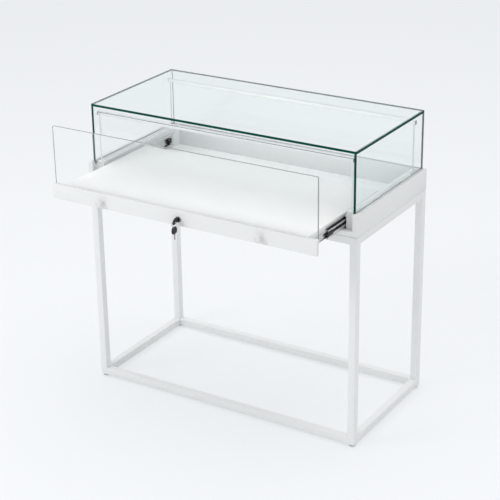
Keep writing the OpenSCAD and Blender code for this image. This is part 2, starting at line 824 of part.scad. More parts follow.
module front_glass() color(clear_glass) pulled()
    translate([0, front_glass_y + front_glass_t, 0]) rotate([90, 0, 0]) linear_extrude(front_glass_t) {
        w = front_glass_half_w;
        r = front_glass_r;
        translate([-w, front_glass_z]) square([2 * w, front_glass_top - front_glass_z - r]);
        translate([-w + r, front_glass_top - r - past]) square([2 * (w - r), r + past]);
        for (side = [left, right]) translate([side * (w - r), front_glass_top - r]) circle(r);
    }

// Packing under and behind the glass, and tape in front of it
module front_glass_gasket() color("white") pulled() {
    x = [-frame_x, frame_x];
    block(x, [fascia_t, lip_y], [glass_rail_top, front_glass_z]);
    block(x, [packing_y, lip_y], [glass_rail_top, deck_top]);
    block(x, [fascia_t, front_glass_y], [glass_rail_top, fascia_z + fascia_h]);
}

// A turned knob: a neck on the fascia and a round head
module knob(side) color("white") pulled() translate([side * knob_x, 0, lock_z]) rotate([90, 0, 0])
    difference() {
        head_l = knob_l - knob_neck_l;
        rotate_extrude() {
            square([knob_neck_d / 2, knob_neck_l + past]);
            translate([0, knob_neck_l]) square([knob_d / 2 - knob_r, head_l]);
            translate([0, knob_neck_l + knob_r]) square([knob_d / 2, head_l - 2 * knob_r]);
            for (y = [knob_neck_l + knob_r, knob_l - knob_r])
                translate([knob_d / 2 - knob_r, y]) circle(knob_r);
        }
        translate([0, 0, -past]) cylinder(r = screw_r + turn_play, h = knob_screw_l + past);
    }

module knob_left() knob(left);
module knob_right() knob(right);

// Screws of the drawer: fascia screws, knob screws, and the screws and nuts of the inner members
module drawer_screws() color(zinc) pulled() {
    for (x = fascia_screw_x) {
        rod_y(screw_head_r, x, [frame_y + sheet, frame_y + sheet + screw_head_t], lock_z);
        rod_y(screw_r, x, [fascia_t - 2 * sheet, frame_y + sheet + past], lock_z);
    }
    both_sides() {
        rod_y(screw_head_r, knob_x, [sheet, sheet + screw_head_t], lock_z);
        rod_y(screw_r, knob_x, [sheet - knob_screw_l, sheet + past], lock_z);
        for (y = slide_screw_y) {
            head_x = frame_x + member_t;
            rod_x(slide_screw_head_r, [head_x, head_x + 1.8], y, slide_z);
            rod_x(slide_screw_r, [head_x - slide_screw_l, head_x + 1], y, slide_z);
            translate([frame_x - sheet - slide_nut_t, y, slide_z]) rotate([0, 90, 0])
                ring_nut(slide_nut_r, slide_screw_r + turn_play, slide_nut_t);
        }
    }
}

// Lock

module lock_housing() color("silver") pulled() difference() {
    union() {
        rod_y(bezel_d / 2, 0, [-bezel_t, 0], lock_z);
        rod_y(barrel_d / 2, 0, [-past, barrel_end_y], lock_z);
    }
    rod_y(plug_d / 2 + turn_play, 0, [-bezel_t - past, barrel_end_y + past], lock_z);
}

module lock_nut() color("silver") pulled()
    translate([0, frame_y + sheet + nut_t, lock_z]) rotate([90, 0, 0])
        ring_nut(nut_r, barrel_d / 2 + turn_play, nut_t);

// Turns a piece to the key's lean about the lock's axis
module at_lock() pulled() translate([0, 0, lock_z]) rotate([0, key_lean, 0]) children();

module lock_plug() color("silver") at_lock() difference() {
    union() {
        rod_y(plug_d / 2, 0, [plug_front_y, cam_y], 0);
        block([-square_shank / 2, square_shank / 2], [cam_y - past, cam_y + cam_t],
            [-square_shank / 2, square_shank / 2]);
    }
    block([-keyway_t / 2, keyway_t / 2], [plug_front_y - past, plug_front_y + blade_l + 2],
        [-keyway_w / 2, keyway_w / 2]);
    rod_y(cam_screw_r, 0, [cam_y + cam_t - 6, cam_y + cam_t + past], 0);
}

// The cam stands square to the key, clear of the rail while the key is near upright
module lock_cam() color(zinc) at_lock() {
    difference() {
        union() {
            rod_y(cam_w / 2, 0, [cam_y, cam_y + cam_t], 0);
            block([0, cam_l], [cam_y, cam_y + cam_t], [-cam_w / 2, cam_w / 2]);
        }
        block([-square_shank / 2, square_shank / 2], [cam_y - past, cam_y + cam_t + past],
            [-square_shank / 2, square_shank / 2]);
    }
    rod_y(cam_screw_head_r, 0, [cam_y + cam_t, cam_y + cam_t + cam_screw_head_t], 0);
    rod_y(cam_screw_r - turn_play, 0, [cam_y + cam_t - 5, cam_y + cam_t + past], 0);
}

// A key in the YZ plane: its blade runs along +Y from the origin, its bow lies towards -Y
module key_shape() {
    translate([-blade_t / 2, -neck_l, -blade_w / 2]) cube([blade_t, neck_l + blade_l, blade_w]);
    rotate([90, 0, 90]) translate([0, 0, -bow_t / 2]) linear_extrude(bow_t) difference() {
        translate([-neck_l - bow_l / 2, 0]) rounded([bow_l, bow_w], bow_r);
        translate([-hole_out, 0]) circle(bow_hole_d / 2);
    }
}

module key() color(black) at_lock() translate([0, plug_front_y, 0]) key_shape();

module key_ring() color("silver") pulled() translate([0, ring_y, ring_z]) rotate([90, 0, 0])
    rotate_extrude() translate([ring_r, 0]) circle(ring_wire / 2);

module spare_key() color(black) pulled() translate([0, ring_y, spare_hole_z]) rotate([-90, 0, 0])
    translate([0, hole_out, 0]) key_shape();

// Slides

// Puts a section drawn in (u, v) on both sides of the case, from y[0] to y[1]
module slide_section(y) both_sides() translate([wall_x, y[1], slide_z]) mirror([1, 0, 0]) rotate([90, 0, 0])
    linear_extrude(y[1] - y[0]) children();

module rect(u, v) translate([u[0], v[0]]) square([u[1] - u[0], v[1] - v[0]]);

// A web between two flanges that point at the other side, u being measured from the wall
module c_section(web, flange, half) {
    web_half = half - member_t - seam;
    rect(web, [-web_half, web_half]);
    rect(flange, [half - member_t, half]);
    rect(flange, [-half, -half + member_t]);
}

module slide_outer_members() color(zinc) in_frame() difference() {
    slide_section([slide_front, slide_front + slide_l]) c_section([0, member_t], [0, outer_lip_u], outer_half);
    both_sides() for (y = slide_screw_y) slide_screw(wall_x - member_t, y);
}

module slide_middle_members() color(zinc) pulled(middle_share)
    slide_section([slide_front, middle_end_y]) c_section(middle_web_u, middle_u, middle_half);

module slide_inner_members() color(zinc) pulled() difference() {
    slide_section([slide_front, inner_end_y])
        c_section([slide_t - member_t, slide_t], inner_u, inner_half);
    both_sides() for (y = slide_screw_y)
        rod_x(slide_screw_r + hole_play / 2, [frame_x - past, frame_x + member_t + past], y, slide_z);
}

function ball_y(k) = cage_start + cage_end + k * ball_pitch;

// A cage of two shelves on a web, with its balls
module ball_cage(u, ball_u, track_v) {
    difference() {
        slide_section([cage_start, cage_start + cage_l]) {
            web_half = track_v - cage_shelf_t / 2 - seam;
            rect([u[0], u[0] + cage_t], [-web_half, web_half]);
            for (side = [-1, 1]) rect(u, [side * track_v - cage_shelf_t / 2, side * track_v + cage_shelf_t / 2]);
        }
        both_sides() for (k = [0:ball_count - 1], side = [-1, 1])
            rod_z(ball_d / 2 + ball_hole_play, wall_x - ball_u, ball_y(k),
                [for (end = [-1, 1]) slide_z + side * track_v + end * cage_shelf_t]);
    }
    both_sides() for (k = [0:ball_count - 1], side = [-1, 1])
        translate([wall_x - ball_u, ball_y(k), slide_z + side * track_v]) sphere(ball_d / 2);
}

module outer_ball_cages() color(zinc) pulled(outer_cage_share)
    ball_cage(outer_cage_u, outer_ball_u, middle_half + track / 2);

module inner_ball_cages() color(zinc) pulled(inner_cage_share)
    ball_cage(inner_cage_u, inner_ball_u, inner_half + track / 2);

// A plastic end block with a tongue in the middle member's back
module slide_stops() color(black) pulled(middle_share) {
    slide_section([slide_front - stop_end_t, slide_front]) difference() {
        rect([member_t + 0.4, middle_u[1]], [-stop_half, stop_half]);
        rect([inner_u[0] - 0.6, slide_t], [-inner_half - stop_passage, inner_half + stop_passage]);
    }
    slide_section([slide_front, slide_front + stop_l])
        rect([member_t + 0.4, middle_web_u[0]], [-middle_half + member_t, middle_half - member_t]);
}

// A block that the inner member meets, on a base whose long foot the middle member meets
module slide_bumpers() color(black) in_frame() {
    slide_section([bumper_y, bumper_y + bumper_l]) {
        rect(bumper_u, [-bumper_h / 2, bumper_h / 2]);
        rect([bumper_u[0], bumper_u[0] + bumper_base_t], [bumper_foot_v[0], bumper_h / 2]);
    }
    slide_section([bumper_y - bumper_foot_l, bumper_y + bumper_l]) rect(bumper_foot_u, bumper_foot_v);
}

leg_front_left();
leg_front_right();
leg_back_left();
leg_back_right();
bottom_rail_front();
bottom_rail_back();
bottom_rail_left();
bottom_rail_right();
top_rail_front();
top_rail_back();
top_rail_left();
top_rail_right();
foot_front_left();
foot_front_right();
foot_back_left();
foot_back_right();
foot_inserts();
body_floor();
body_side_left();
body_side_right();
body_back();
body_front_rail();
body_seals();
body_fasteners();
glass_top();
glass_left();
glass_right();
glass_back();
light_bar_front();
light_bar_back();
light_diffusers();
led_strips();
light_end_caps();
light_posts();
led_driver();
lamp_leads();
dc_inlet();
deck_board();
drawer_frame();
fascia();
glass_rail();
front_glass();
front_glass_gasket();
knob_left();
knob_right();
drawer_screws();
lock_housing();
lock_nut();
lock_plug();
lock_cam();
key();
key_ring();
spare_key();
slide_outer_members();
slide_middle_members();
slide_inner_members();
outer_ball_cages();
inner_ball_cages();
slide_stops();
slide_bumpers();
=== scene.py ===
# %% [markdown]
# Conservation display case, dressed for rendering. The packed model gives every piece its real size and
# place. This lesson adds what a drawing can't show: the glass, the paint, the light and the small hardware.

# %% Load the packed frame
import json
import math

import bmesh
import bpy
from mathutils import Matrix, Vector


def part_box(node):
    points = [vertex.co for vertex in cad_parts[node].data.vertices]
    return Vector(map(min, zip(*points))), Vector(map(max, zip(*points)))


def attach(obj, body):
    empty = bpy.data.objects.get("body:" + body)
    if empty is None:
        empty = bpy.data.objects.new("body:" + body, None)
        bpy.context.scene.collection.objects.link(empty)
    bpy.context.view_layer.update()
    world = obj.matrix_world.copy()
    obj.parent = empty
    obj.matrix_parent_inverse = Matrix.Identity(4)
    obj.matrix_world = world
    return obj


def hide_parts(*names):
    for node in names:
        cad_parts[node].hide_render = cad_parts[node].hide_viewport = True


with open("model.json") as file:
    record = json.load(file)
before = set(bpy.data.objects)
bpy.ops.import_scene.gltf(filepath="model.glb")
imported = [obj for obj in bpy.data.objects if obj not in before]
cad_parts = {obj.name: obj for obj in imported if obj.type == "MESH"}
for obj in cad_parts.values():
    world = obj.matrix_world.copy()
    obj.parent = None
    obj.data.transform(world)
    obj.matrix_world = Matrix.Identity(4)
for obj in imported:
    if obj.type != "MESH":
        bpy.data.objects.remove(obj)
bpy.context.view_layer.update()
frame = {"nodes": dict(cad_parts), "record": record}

MM = 0.001

# %% [markdown]
# The camera stands in front of the right corner and looks slightly down, as the photographer did. A camera
# can be placed by eye, but here its place, turn and focal length were worked out from the case's straight
# edges, so that edges in the picture fall where they fall in the photograph. A matrix sets all of it at
# once. The Standard view transform shows a colour as it is written.

# %% Camera
CAMERA_PLACE = Vector((2.39036, -3.76931, 2.43477))
YAW, PITCH, ROLL = 0.555691, -0.401866, -0.0152537
FOCAL_PIXELS = 1482.3774
PICTURE_PIXELS = 500
SENSOR = 36.0


def camera_matrix():
    forward = Vector((-math.sin(YAW) * math.cos(PITCH), math.cos(YAW) * math.cos(PITCH), math.sin(PITCH)))
    level = Vector((math.cos(YAW), math.sin(YAW), 0))
    upright = level.cross(forward)
    right = math.cos(ROLL) * level + math.sin(ROLL) * upright
    up = -math.sin(ROLL) * level + math.cos(ROLL) * upright
    turn = Matrix((right, up, -forward)).transposed().to_4x4()
    return Matrix.Translation(CAMERA_PLACE) @ turn


camera_data = bpy.data.cameras.new("camera")
camera_data.sensor_width = SENSOR
camera_data.lens = FOCAL_PIXELS / PICTURE_PIXELS * SENSOR
camera_data.clip_start, camera_data.clip_end = 0.1, 100
camera = bpy.data.objects.new("camera", camera_data)
camera.matrix_world = camera_matrix()
bpy.context.scene.collection.objects.link(camera)
bpy.context.scene.camera = camera
bpy.context.scene.view_settings.view_transform = "Standard"
print("camera:", tuple(round(v, 3) for v in camera.location), "lens", round(camera_data.lens, 2), "mm")

# %% [markdown]
# Materials and Geometry Nodes are both trees of nodes. Wiring nodes one by one is long to read, so a thin
# wrapper round an output lets a formula such as 0.4 + mask * 0.2 make its own Math nodes. Sums, differences
# and products have their reflected forms too, so that 1 - mask works as well as mask - 1.

# %% Wires
class Wire:
    """One output of a node. Arithmetic on it adds Math nodes to the same tree."""

    def __init__(self, tree, socket):
        self.tree, self.socket = tree, socket

    def math(self, operation, first, second):
        return self.tree.node("ShaderNodeMath", {"operation": operation}, {0: first, 1: second})

    def __add__(self, other):
        return self.math("ADD", self, other)

    def __radd__(self, other):
        return self.math("ADD", other, self)

    def __sub__(self, other):
        return self.math("SUBTRACT", self, other)

    def __rsub__(self, other):
        return self.math("SUBTRACT", other, self)

    def __mul__(self, other):
        return self.math("MULTIPLY", self, other)

    def __rmul__(self, other):
        return self.math("MULTIPLY", other, self)

    def __gt__(self, edge):
        return self.math("GREATER_THAN", self, edge)


print("operators on a wire:", [name for name in vars(Wire) if name.startswith("__") and "init" not in name])

# %% [markdown]
# Every other node comes from one method. It sets the node's own settings first, such as a Math node's
# operation, because they decide which sockets there are. Then it feeds the sockets with values or with
# other nodes. A socket that takes several links is given a list of wires.

# %% Trees
class Tree:
    """A node tree, and the one method that adds nodes to it."""

    def __init__(self, tree):
        self.tree = tree

    def node(self, kind, settings=None, sockets=None, output=0):
        made = self.tree.nodes.new(kind)
        for name, value in (settings or {}).items():
            setattr(made, name, value)
        for key, value in (sockets or {}).items():
            wires = value if isinstance(value, list) else [value]
            if isinstance(wires[0], Wire):
                for wire in wires:
                    self.tree.links.new(wire.socket, made.inputs[key])
            else:
                made.inputs[key].default_value = value
        return Wire(self, made.outputs[output]) if len(made.outputs) else made


print("a tree makes every node with:", [name for name in vars(Tree) if not name.startswith("_")])

# %% [markdown]
# A finish on a real piece is more than a colour: it is cloudy, grained or handled. Most finishes here are
# one Principled shader whose colour and roughness follow soft noise, and whose normal follows a Bump node.
# So the noise, the mix of two colours, the bump and the tree's end each get a short method.

# %% Finishes
class Finish(Tree):
    """A material, or the world, and the patterns that its finish is made from."""

    def __init__(self, name, owner=None):
        self.owner = owner or bpy.data.materials.new(name)
        self.owner.use_nodes = True
        super().__init__(self.owner.node_tree)
        self.tree.nodes.clear()

    def noise(self, scale, detail=2.0, stretch=(1, 1, 1)):
        """Soft noise on the object's own coordinates in metres, 0 to 1."""
        place = self.node("ShaderNodeTexCoord", output="Object")
        place = self.node("ShaderNodeVectorMath", {"operation": "MULTIPLY"}, {0: place, 1: stretch})
        return self.node("ShaderNodeTexNoise", {}, {"Vector": place, "Scale": scale, "Detail": detail})

    def mix(self, amount, first, second):
        """From the first colour to the second."""
        return self.node("ShaderNodeMix", {"data_type": "RGBA"}, {0: amount, 6: first, 7: second}, output=2)

    def bump(self, height, strength, depth):
        return self.node("ShaderNodeBump", {}, {"Strength": strength, "Distance": depth, "Height": height})

    def principled(self, sockets):
        return self.node("ShaderNodeBsdfPrincipled", {}, sockets)

    def end(self, **shaders):
        """Ends a material's tree in its Surface, and in glass its Volume."""
        self.node("ShaderNodeOutputMaterial", {}, shaders)
        return self.owner

    def surface(self, sockets):
        """Ends the tree in one Principled shader."""
        return self.end(Surface=self.principled(sockets))


print("a finish can make:", [name for name in vars(Finish) if not name.startswith("_")])

# %% [markdown]
# The numbers of a colour on a screen aren't in proportion to its light, but a shader's numbers are. One
# helper turns the 0 to 255 of a screen into a shader's numbers, and another gives the darker tone of the
# same colour.

# %% Colours
def linear(red, green, blue):
    """A colour seen on a screen, 0 to 255, as the shader's own numbers."""
    def channel(value):
        value /= 255
        return value / 12.92 if value <= 0.04045 else ((value + 0.055) / 1.055) ** 2.4
    return (channel(red), channel(green), channel(blue), 1.0)


def darker(tone, share):
    return tuple(v * share for v in tone[:3]) + (1.0,)


print("white paint in the shader's numbers:", tuple(round(v, 3) for v in linear(238, 240, 240)))

# %% [markdown]
# The photograph was taken in an even, pale studio. The world gives most of the light, so shadows stay soft
# and the inside of the hood is lit from all round. Camera, gloss and glass rays see a paler world than the
# one that lights the case, so that the background is pale and the paint keeps its colour.

# %% World
WORLD_LIGHT = 0.72
BACKGROUND = linear(243, 246, 248)


def seen_rays(finish):
    """1 for rays from the camera, from gloss and through glass, else 0."""
    seen_by_camera = finish.node("ShaderNodeLightPath", output="Is Camera Ray")
    seen_in_gloss = finish.node("ShaderNodeLightPath", output="Is Glossy Ray")
    seen_in_glass = finish.node("ShaderNodeLightPath", output="Is Transmission Ray")
    return finish.node("ShaderNodeMath", {"operation": "ADD", "use_clamp": True},
                       {0: seen_by_camera + seen_in_gloss, 1: seen_in_glass})


def make_world():
    world = bpy.data.worlds.new("studio")
    bpy.context.scene.world = world
    finish = Finish("studio", world)
    lights = finish.node("ShaderNodeBackground", {}, {"Color": (1, 1, 1, 1), "Strength": WORLD_LIGHT})
    shows = finish.node("ShaderNodeBackground", {}, {"Color": BACKGROUND, "Strength": 1.0})
    mixed = finish.node("ShaderNodeMixShader", {}, {0: seen_rays(finish), 1: lights, 2: shows})
    finish.node("ShaderNodeOutputWorld", {}, {"Surface": mixed})


make_world()
print("world:", bpy.context.scene.world.name, "with light of strength", WORLD_LIGHT)

# %% [markdown]
# A wide lamp overhead makes the flat surfaces the brightest, and one at the upper left parts the front from
# the side. The case's own light bars are on too, and light the inside. A long, thin lamp near each bar is
# far less noisy than a glowing mesh, and rays from the camera, from gloss and through glass pass it by, so
# that only the bar shows.

# %% Lamps
BAR_LAMP_WIDTH = 0.006


def hang_lamp(name, place, aim, power, **form):
    """An area lamp at a place, turned towards its aim. The form is its shape and size."""
    data = bpy.data.lights.new(name, "AREA")
    data.energy = power
    for setting, value in form.items():
        setattr(data, setting, value)
    lamp = bpy.data.objects.new(name, data)
    lamp.location = place
    lamp.rotation_euler = (Vector(aim) - Vector(place)).to_track_quat("-Z", "Y").to_euler()
    bpy.context.scene.collection.objects.link(lamp)
    return lamp


def bar_lamp(node, beside, above, aim, power):
    """A lamp as long as a light bar, near its mouth."""
    low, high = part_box(node)
    place = Vector(((low.x + high.x) / 2, (low.y + high.y) / 2 + beside, low.z + above))
    lamp = hang_lamp(node + " lamp", place, place + Vector(aim), power,
                     shape="RECTANGLE", size=high.x - low.x, size_y=BAR_LAMP_WIDTH)
    lamp.visible_camera = lamp.visible_glossy = lamp.visible_transmission = False
    return lamp


side_lamp = hang_lamp("side lamp", (-2.2, -3.2, 3.4), aim=(0, -0.1, 0.7), power=55, shape="DISK", size=2.0)
top_lamp = hang_lamp("top lamp", (0.4, 0.4, 4.6), aim=(0.1, 0, 0.7), power=73, shape="DISK", size=4.0)
bar_lamps = [bar_lamp("light_bar_front", beside=0.012, above=0.003, aim=(0, 1.0, 0.6), power=0.56),
             bar_lamp("light_bar_back", beside=-0.012, above=-0.004, aim=(0, 0.6, -1.0), power=0.40)]
print("lamps of", side_lamp.data.energy, "and", top_lamp.data.energy, "W, and along the bars two of",
      [round(lamp.data.energy, 2) for lamp in bar_lamps], "W")

# %% [markdown]
# The floor is a wide pale sheet. It takes the shadow of the stand and throws light back up under the case.
# Where the camera sees it, straight or through glass, it is mixed with the background's own tone, so that
# it stays pale out to its far edge and keeps a light shadow.

# %% Floor
FLOOR_HALF = 14.0
FLOOR_LIFT = 0.65


def floor_finish():
    finish = Finish("studio floor")
    mottle = finish.noise(scale=1.5, detail=3.0)
    sheet = finish.principled({
        "Base Color": finish.mix(mottle, linear(240, 242, 243), linear(243, 245, 246)), "Roughness": 0.9,
        "Specular IOR Level": 0.1})
    pale = finish.node("ShaderNodeEmission", {}, {"Color": BACKGROUND, "Strength": 1.0})
    shown = finish.node("ShaderNodeMixShader", {}, {0: seen_rays(finish) * FLOOR_LIFT, 1: sheet, 2: pale})
    return finish.end(Surface=shown)


def make_floor():
    mesh = bpy.data.meshes.new("studio floor")
    corners = [(FLOOR_HALF * x, FLOOR_HALF * y, 0) for x, y in ((-1, -1), (1, -1), (1, 1), (-1, 1))]
    mesh.from_pydata(corners, [], [(0, 1, 2, 3)])
    mesh.materials.append(floor_finish())
    sheet = bpy.data.objects.new("studio_floor", mesh)
    bpy.context.scene.collection.objects.link(sheet)
    return sheet


floor = make_floor()
print("floor:", floor.dimensions.x, "m wide")

# %% [markdown]
# White powder coat covers the stand, the body, the drawer's fascia and the rails. Powder melts in an oven
# into a skin with a faint ripple, called orange peel, and a satin gloss. Two sizes of noise drive a Bump
# node for the ripple and the grain, and a broad, weak noise shifts the gloss as handling does.

# %% Powder coat
def powder_coat(name, tone):
    finish = Finish(name)
    peel = finish.noise(scale=260)
    grain = finish.noise(scale=1900, detail=1.0)
    handled = finish.noise(scale=4, detail=4.0)
    return finish.surface({
        "Base Color": finish.mix(handled, tone, darker(tone, 0.965)),
        "Roughness": 0.34 + handled * 0.14,
        "Normal": finish.bump(peel * 0.8 + grain * 0.2, strength=0.22, depth=0.0001),
        "Specular IOR Level": 0.45,
    })


white_coat = powder_coat("white powder coat", linear(236, 238, 238))
rail_coat = powder_coat("white rail coat", linear(238, 240, 240))
print("powder coats:", white_coat.name, "and", rail_coat.name)

# %% [markdown]
# The light bars and their posts are anodised aluminium. Extruding leaves very fine lines along a bar, so
# the noise is stretched along X: it changes quickly across the bar and slowly along it. The posts are
# turned stock, and the same finish with the stretch along Z suits them. Under a bar's upper edge runs the
# groove that its cover clips into. The groove isn't modelled, so its shade is painted: a band of height on
# the object's own coordinates darkens the colour there.

# %% Satin aluminium
LINES_ALONG_BAR, LINES_ALONG_POST = (40, 4000, 4000), (4000, 4000, 60)
COVER_GROOVE = (0.0022, 0.0006)
# Painted shade of the cover's groove, which isn't modelled.
PAINTED_GROOVE_SHADE = linear(96, 100, 102)


def height_band(finish, lowest, highest):
    """1 between two heights on the object, else 0."""
    place = finish.node("ShaderNodeTexCoord", output="Object")
    height = finish.node("ShaderNodeSeparateXYZ", {}, {"Vector": place}, output="Z")
    return (height > lowest) * (1 - (height > highest))


def satin_aluminium(name, stretch, groove=(0, 0)):
    finish = Finish(name)
    lines = finish.noise(scale=1.0, stretch=stretch)
    bloom = finish.noise(scale=25, detail=3.0)
    brushed = finish.mix(bloom, linear(246, 247, 248), linear(238, 239, 240))
    return finish.surface({
        # The band of height paints the groove's shade into the colour.
        "Base Color": finish.mix(height_band(finish, *groove), brushed, PAINTED_GROOVE_SHADE),
        "Metallic": 1.0,
        "Roughness": 0.40 + lines * 0.12,
        "Normal": finish.bump(lines, strength=0.12, depth=0.00005),
    })


bar_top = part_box("light_bar_front")[1].z
bar_metal = satin_aluminium("anodised bar", LINES_ALONG_BAR, [bar_top - down for down in COVER_GROOVE])
post_metal = satin_aluminium("anodised post", LINES_ALONG_POST)
print("aluminium:", bar_metal.name, "and", post_metal.name)

# %% [markdown]
# Slide members, nuts and screws are zinc-plated steel. Zinc has a cool grey tone with faint bluish and
# yellowish clouds, and the rolling marks run along the slide. Clouds mix the colour, and a stretched noise
# gives the marks. A slide's finish can also have near-black bands of height, which are painted shade.
# Balls, lock parts and the ring are polished, with a light haze and hairline scratches.

# %% Steel
MARKS_ALONG_SLIDE, MARKS_ON_SCREW = (2500, 30, 2500), (900, 900, 900)
SCRATCH_LINES, SCRATCH_LEVEL = (3000, 400, 150), 0.72
# Near black, for painted shade on the slides.
PAINTED_SHADE_BLACK = linear(20, 21, 22)


def zinc_steel(name, stretch, shaded_bands=()):
    finish = Finish(name)
    marks = finish.noise(scale=1.0, detail=3.0, stretch=stretch)
    clouds = finish.noise(scale=60, detail=4.0)
    tone = finish.mix(clouds, linear(214, 218, 222), linear(226, 225, 219))
    # Each band is painted shade: the colour there turns near black.
    for lowest, highest in shaded_bands:
        tone = finish.mix(height_band(finish, lowest, highest), tone, PAINTED_SHADE_BLACK)
    return finish.surface({
        "Base Color": tone,
        "Metallic": 1.0,
        "Roughness": 0.24 + clouds * 0.16,
        "Normal": finish.bump(marks, strength=0.15, depth=0.00005),
    })


def polished(name, tone, least_roughness):
    finish = Finish(name)
    haze = finish.noise(scale=90, detail=3.0)
    scratch = finish.noise(scale=1.0, detail=1.0, stretch=SCRATCH_LINES) > SCRATCH_LEVEL
    return finish.surface({
        "Base Color": finish.mix(haze, tone, darker(tone, 0.93)),
        "Metallic": 1.0,
        "Roughness": least_roughness + haze * 0.08 + scratch * 0.12,
        "Normal": finish.bump(scratch, strength=0.1, depth=0.00002),
    })


slide_zinc = zinc_steel("zinc plated slide", MARKS_ALONG_SLIDE)
screw_zinc = zinc_steel("zinc plated screw", MARKS_ON_SCREW)
ball_steel = polished("polished ball steel", linear(196, 198, 202), 0.05)
lock_plating = polished("lock plating", linear(104, 108, 110), 0.10)
ring_plating = polished("ring plating", linear(205, 207, 210), 0.10)
blade_nickel = polished("key blade nickel", linear(176, 172, 164), 0.20)
print("steels:", slide_zinc.name, "and", ball_steel.name)

# %% [markdown]
# The deck is a board with a sprayed white lacquer. It is matter than the powder coat and quite flat, with a
# fine, even texture from the spray.

# %% Lacquered board
def lacquered_board():
    finish = Finish("white lacquer")
    spray = finish.noise(scale=900)
    broad = finish.noise(scale=6, detail=3.0)
    return finish.surface({
        "Base Color": finish.mix(broad, linear(244, 245, 244), linear(241, 242, 241)),
        "Roughness": 0.5 + broad * 0.1,
        "Normal": finish.bump(spray, strength=0.18, depth=0.00006),
    })


board_lacquer = lacquered_board()
print("board:", board_lacquer.name)

# %% [markdown]
# The plastics differ in gloss and texture. Knobs are polished white, the key bows and slide stops are black
# with a fine spark-eroded grain, and the feet have that grain in a pale tone. End caps are matt grey, and
# the diffusers are opal sheets with a faint glow. One function makes them all from a tone, a roughness, and
# the scale and depth of the grain.

# %% Plastics and rubber
def moulded(name, tone, roughness, grain_scale, grain_depth, more=None):
    finish = Finish(name)
    grain = finish.noise(scale=grain_scale)
    flow = finish.noise(scale=35, detail=3.0)
    return finish.surface({
        "Base Color": finish.mix(flow, tone, darker(tone, 0.94)),
        "Roughness": roughness + flow * 0.1,
        "Normal": finish.bump(grain, strength=0.3, depth=grain_depth),
        **(more or {}),
    })


knob_plastic = moulded("white knob plastic", linear(228, 229, 229), 0.16, 150, 0.00002)
black_plastic = moulded("black grained plastic", linear(26, 26, 28), 0.45, 2600, 0.00008)
grey_plastic = moulded("grey cap plastic", linear(120, 122, 124), 0.5, 2000, 0.00005)
driver_plastic = moulded("white housing plastic", linear(232, 232, 230), 0.4, 1500, 0.00005)
lead_sheath = moulded("grey lead sheath", linear(150, 150, 150), 0.45, 900, 0.00003)
seal_rubber = moulded("white seal rubber", linear(222, 224, 224), 0.7, 1200, 0.00006)
clear_rubber = moulded("milky silicone", linear(240, 242, 242), 0.35, 500, 0.00003)
foot_plastic = moulded("pale foot plastic", linear(214, 216, 216), 0.5, 2400, 0.00008)
opal_sheet = moulded("opal diffuser", linear(248, 248, 246), 0.35, 900, 0.00003,
                     {"Emission Color": (1.0, 0.99, 0.97, 1.0), "Emission Strength": 0.20})
strip_board = moulded("led board", linear(240, 238, 226), 0.4, 700, 0.00003)
chip_phosphor = moulded("led phosphor", linear(238, 214, 120), 0.25, 1500, 0.00002)
print("plastics:", [m.name for m in (knob_plastic, black_plastic, grey_plastic, opal_sheet)])

# %% [markdown]
# Float glass is clear across its thickness and dark green along its length, because iron in it absorbs red
# light, and an edge shows light that has travelled far inside. The pane is a closed solid that refracts,
# and a Volume Absorption node inside it does what iron does. A render follows only a few bounces, and light
# that enters a rim needs hundreds, so most of the rim is a green solid shader instead. The mesh marks its
# rim faces with an attribute, and one material reads it, because a ray must leave a volume through the same
# material by which it came in.

# %% Glass
def glass(name, lets_pass, density, rim_tone, rim_roughness, rim_share):
    finish = Finish(name)
    wiped = finish.noise(scale=7, detail=4.0)
    clear = finish.principled({
        "Base Color": finish.mix(wiped, (1, 1, 1, 1), (0.985, 0.99, 0.99, 1.0)), "Roughness": 0.0,
        "IOR": 1.52, "Transmission Weight": 1.0})
    solid = finish.principled({
        "Base Color": finish.mix(wiped, rim_tone, darker(rim_tone, 0.9)), "Roughness": rim_roughness,
        "Specular IOR Level": 0.05})
    rim = finish.node("ShaderNodeAttribute", {"attribute_name": "rim"}, output="Fac")
    return finish.end(
        Surface=finish.node("ShaderNodeMixShader", {}, {0: rim * rim_share, 1: clear, 2: solid}),
        Volume=finish.node("ShaderNodeVolumeAbsorption", {}, {"Color": lets_pass, "Density": density}))


hood_glass = glass("hood glass", lets_pass=(0.10, 0.60, 0.56, 1.0), density=4.0,
                   rim_tone=(0.0, 0.072, 0.048, 1.0), rim_roughness=0.3, rim_share=0.98)
front_glass = glass("front glass", lets_pass=(0.55, 0.75, 0.75, 1.0), density=4.0,
                    rim_tone=(0.36, 0.38, 0.38, 1.0), rim_roughness=0.45, rim_share=0.75)
print("glass:", hood_glass.name, "and", front_glass.name)

# %% [markdown]
# Every node of the packed model names the finish that its maker gives it. A table turns those names into
# the finishes above, and each node's object takes one in its material slot. Pieces made below take theirs
# from the same table.

# %% Finishes on the packed nodes
FINISH_OF_SLOT = {
    "white_steel": white_coat, "white_aluminium": rail_coat, "satin_aluminium": bar_metal,
    "glass": hood_glass, "white_board": board_lacquer, "white_rubber": seal_rubber,
    "clear_rubber": clear_rubber, "opal_plastic": opal_sheet, "led_board": strip_board,
    "grey_plastic": grey_plastic, "black_plastic": black_plastic, "white_plastic": knob_plastic,
    "zinc_steel": slide_zinc, "lock_chrome": lock_plating,
}
OWN_FINISH = {
    "light_posts": post_metal, "body_fasteners": screw_zinc, "drawer_screws": screw_zinc,
    "outer_ball_cages": screw_zinc, "inner_ball_cages": screw_zinc, "key_ring": ring_plating,
    "led_driver": driver_plastic, "lamp_leads": lead_sheath,
}
slot_of = {s["node"]: s["material_slot"] for s in frame["record"]["subparts"]}
body_of = {node: body for body, nodes in frame["record"]["behaviour"]["bodies"].items() for node in nodes}


def finish_of(node):
    return OWN_FINISH.get(node) or FINISH_OF_SLOT[slot_of[node]]


for node, piece in frame["nodes"].items():
    piece.data.materials.clear()
    piece.data.materials.append(finish_of(node))
print("finished", len(slot_of), "nodes")

